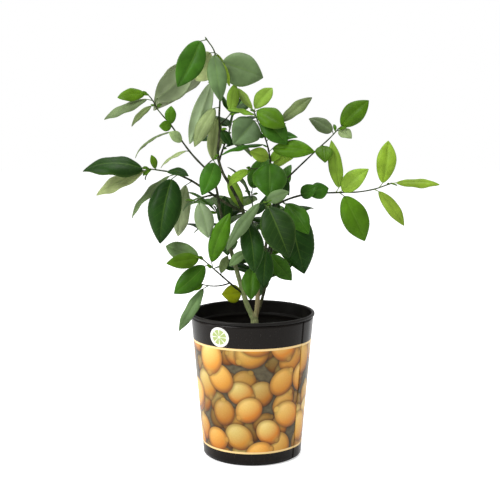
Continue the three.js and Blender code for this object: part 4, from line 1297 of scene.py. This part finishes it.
def fine_shoots(mass, detail):
    """Very small young leaves at the ends of the twigs and beside a few of the leaves."""
    places = []
    for twig in mass["twigs"]:
        way = way_at(twig["points"], 1)
        for k in range(2):
            out = way_out(way, 2.6 * k + 6.28 * detail())
            places.append((along(twig["points"], 1 - 0.04 * k), way + out, 7 + 6 * detail()))
    for leaf in mass["leaves"]:
        if detail() < 0.14:
            sway = np.array([detail() - 0.5, detail() - 0.5, 0.2])
            places.append((leaf["root"], unit(leaf["foot"] - leaf["root"]) + sway, 6 + 5 * detail()))
    small = []
    for root, aim, length in places:
        if root[2] > SHOOTS_BELOW:
            continue
        aim[2] = min(aim[2], 0.2)
        aim = unit(aim)
        foot = root + aim * 2
        frame_of_leaf = leaf_frame(foot, aim, 20 + 60 * detail(), length, SHOOT_DROOP)
        small.append({**frame_of_leaf, "length": length, "half": length * (0.17 + 0.06 * detail()),
                      "fold": math.radians(20 + 20 * detail()), "roll": 0.3 * (detail() - 0.5),
                      "root": root, "foot": foot, "kind": FRESH, "grid": SMALL_BLADE_GRID})
    return small


def stalk_radius(t, a):
    """A leaf's stalk is thicker at both ends, and flatter where the blade starts."""
    return 0.62 + 0.35 * (2 * t - 1) ** 4 + 0.12 * math.cos(2 * a) * t


def make_twigs(name, mass, small, twig_skin):
    """The twigs, the leaves' stalks and the buds of one mass, as one mesh."""
    wood = Surface()

    def add_bud(root, way, length, radius):
        bud = root + way * length
        add_rod(wood, [root, (root + bud) / 2, bud], BUD_SIDES, radius, TWIG_YOUNG)

    for twig in mass["twigs"]:
        taper = tapering(twig["radii"])
        path = smooth_path(twig["points"], TWIG_MESH[0])

        def uneven(t, a):
            return taper(t, a) * (1 + 0.07 * math.sin(40 * t) + 0.05 * math.cos(3 * a))

        add_rod(wood, path, TWIG_MESH[1], uneven, [TWIG_OLD, TWIG_OLD, TWIG_YOUNG])
        add_bud(path[-1], way_at(path, 1), 3.2, lambda t, a: 1.15 * (1 - t) ** 0.7 + 0.12)
    for leaf in mass["leaves"]:
        root, foot = leaf["root"], leaf["foot"]
        path = smooth_path([root, (root + foot) / 2, foot, along(leaf["midrib"], 0.03)], STALK_MESH[0])
        tint = PETIOLE_PALE if leaf["kind"] in (YOUNG, OLD) else PETIOLE_GREEN
        add_rod(wood, path, STALK_MESH[1], stalk_radius, tint)
        add_bud(root, unit(foot - root + np.array([0, 0, 1.5])), 2.0, lambda t, a: 0.8 * (1 - t) ** 0.6 + 0.1)
    for leaf in small:
        path = [leaf["root"], leaf["foot"], along(leaf["midrib"], 0.06)]
        add_rod(wood, path, SHOOT_SIDES, lambda t, a: SHOOT_RADIUS, PETIOLE_PALE)
    return wood.make(f"twigs_{name}", [twig_skin])


# What is left free round each side's place on the map for baking, as a share of that place
MAP_MARGIN = 0.06


def make_leaves(name, mass, small, leaf_skins, detail):
    """All the blades of one mass as one mesh, each a little different in colour."""
    blades = Surface()
    leaves = mass["leaves"] + small
    across = math.ceil(math.sqrt(len(leaves)))
    down = math.ceil(2 * len(leaves) / across)
    for i, leaf in enumerate(leaves):
        upper, under = LEAF_COLOURS[leaf["kind"]]
        vary = np.array([0.90 + 0.2 * detail(), 0.92 + 0.16 * detail(), 0.85 + 0.3 * detail()])
        boxes = []
        for cell in (2 * i, 2 * i + 1):
            column, row = cell % across, cell // across
            boxes.append(((column + MAP_MARGIN) / across, (row + MAP_MARGIN) / down,
                          (column + 1 - MAP_MARGIN) / across, (row + 1 - MAP_MARGIN) / down))
        add_blade(blades, leaf, detail, np.array(upper) * vary, np.array(under) * vary, boxes)
    return blades.make(f"leaves_{name}", leaf_skins)


# The pieces

paths, masses = grow_tree()

pot_shell = make_pot()
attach(pot_shell, "root")
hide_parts("pot")

wrap_film = make_wrap()
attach(wrap_film, "root")
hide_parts("pot_wrap")

potting_soil, soil_chips = make_soil(draws(77))
for piece in (potting_soil, soil_chips):
    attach(piece, "root")
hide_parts("soil")

bark_skin = bark_skin_group()
bark = make_bark(paths, bark_skin)
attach(bark, "root")
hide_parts(*LIMBS)

leaf_skin = leaf_skin_group()
leaf_skins = [
    leaf_material("leaf_upper_side", leaf_skin, vein_tint=(0.15, 0.27, 0.04), vein_share=0.34, rough=0.42,
                  shine=0.10, see_through=0.14, bump=0.16),
    leaf_material("leaf_under_side", leaf_skin, vein_tint=(0.32, 0.42, 0.17), vein_share=0.5, rough=0.58,
                  shine=0.12, see_through=0.2, bump=0.16),
]
twig_skin = bark_material("green_twig_bark", bark_skin, streaks=1300.0, patches=0.06, spots=0.08, rough=0.6,
                          bump=0.35)
for mass in masses:
    name = mass["name"].replace("foliage_", "")
    detail = draws(500 + mass["order"])
    small = fine_shoots(mass, detail)
    twigs = make_twigs(name, mass, small, twig_skin)
    leaves = make_leaves(name, mass, small, leaf_skins, detail)
    for piece in (twigs, leaves):
        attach(piece, "root")
    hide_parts(mass["name"])


# Stage, light and camera

FLOOR_REACH = 6.0
FLOOR_DROP = 0.0004
# Where the camera stood, how far it looked down and how long its lens was, from the pot's ellipses
CAMERA_PLACE = (-0.00307, -1.4, 0.468)
CAMERA_DOWN = 7.82
CAMERA_LENS = 76.5


def make_stage():
    mesh = bpy.data.meshes.new("studio_floor")
    corners = [(-1, -1, 0), (1, -1, 0), (1, 1, 0), (-1, 1, 0)]
    mesh.from_pydata([(x * FLOOR_REACH, y * FLOOR_REACH, 0) for x, y, _ in corners], [], [(0, 1, 2, 3)])
    floor = new_object("studio_floor", mesh)
    floor.location.z = -FLOOR_DROP
    material = bpy.data.materials.new("pale_floor")
    material.use_nodes = True
    n = Nodes(material.node_tree)
    skin = material.node_tree.nodes["Principled BSDF"]
    n.put(skin.inputs["Base Color"], (0.9, 0.9, 0.9))
    n.put(skin.inputs["Roughness"], 0.8)
    n.put(skin.inputs["Emission Color"], (1.0, 1.0, 1.0))
    n.put(skin.inputs["Emission Strength"], n.times(n.node("LightPath").outputs["Is Camera Ray"], 0.45))
    mesh.materials.append(material)


def soft_light(name, place, aim, size, power, tall=None):
    data = bpy.data.lights.new(name, "AREA")
    data.shape, data.size, data.size_y, data.energy = "RECTANGLE", size, tall or size, power
    light = new_object(name, data)
    light.location = place
    light.rotation_euler = (Vector(aim) - Vector(place)).to_track_quat("-Z", "Y").to_euler()


def make_light():
    """Soft light from all round, stronger from above, with three lamps: upper left, overhead, low left."""
    world = bpy.data.worlds.new("studio_air")
    world.use_nodes = True
    n = Nodes(world.node_tree)
    air = world.node_tree.nodes["Background"].inputs
    height = n.node("SeparateXYZ", {0: n.node("TexCoord").outputs["Generated"]}).outputs[2]
    seen = n.node("LightPath").outputs["Is Camera Ray"]
    n.put(air["Color"], (1, 1, 1))
    n.put(air["Strength"], n.math("MAXIMUM", n.spread(height, -0.3, 0.9, 0.38, 0.85), seen))
    bpy.context.scene.world = world
    bpy.context.scene.view_settings.view_transform = "Standard"
    soft_light("key_light", (-1.6, -1.2, 1.7), (0, 0, 0.3), size=1.2, power=46)
    soft_light("top_light", (0.2, 0.4, 2.4), (0, 0, 0.3), size=1.6, power=32)
    soft_light("side_strip", (-1.5, -0.2, 0.35), (0, 0, 0.12), size=0.3, power=3.5, tall=1.0)


def make_camera():
    data = bpy.data.cameras.new("photo_camera")
    data.sensor_width = 36
    data.lens = CAMERA_LENS
    camera = new_object("photo_camera", data)
    camera.location = CAMERA_PLACE
    camera.rotation_euler = (math.radians(90 - CAMERA_DOWN), 0, 0)
    bpy.context.scene.camera = camera


make_stage()
make_light()
make_camera()
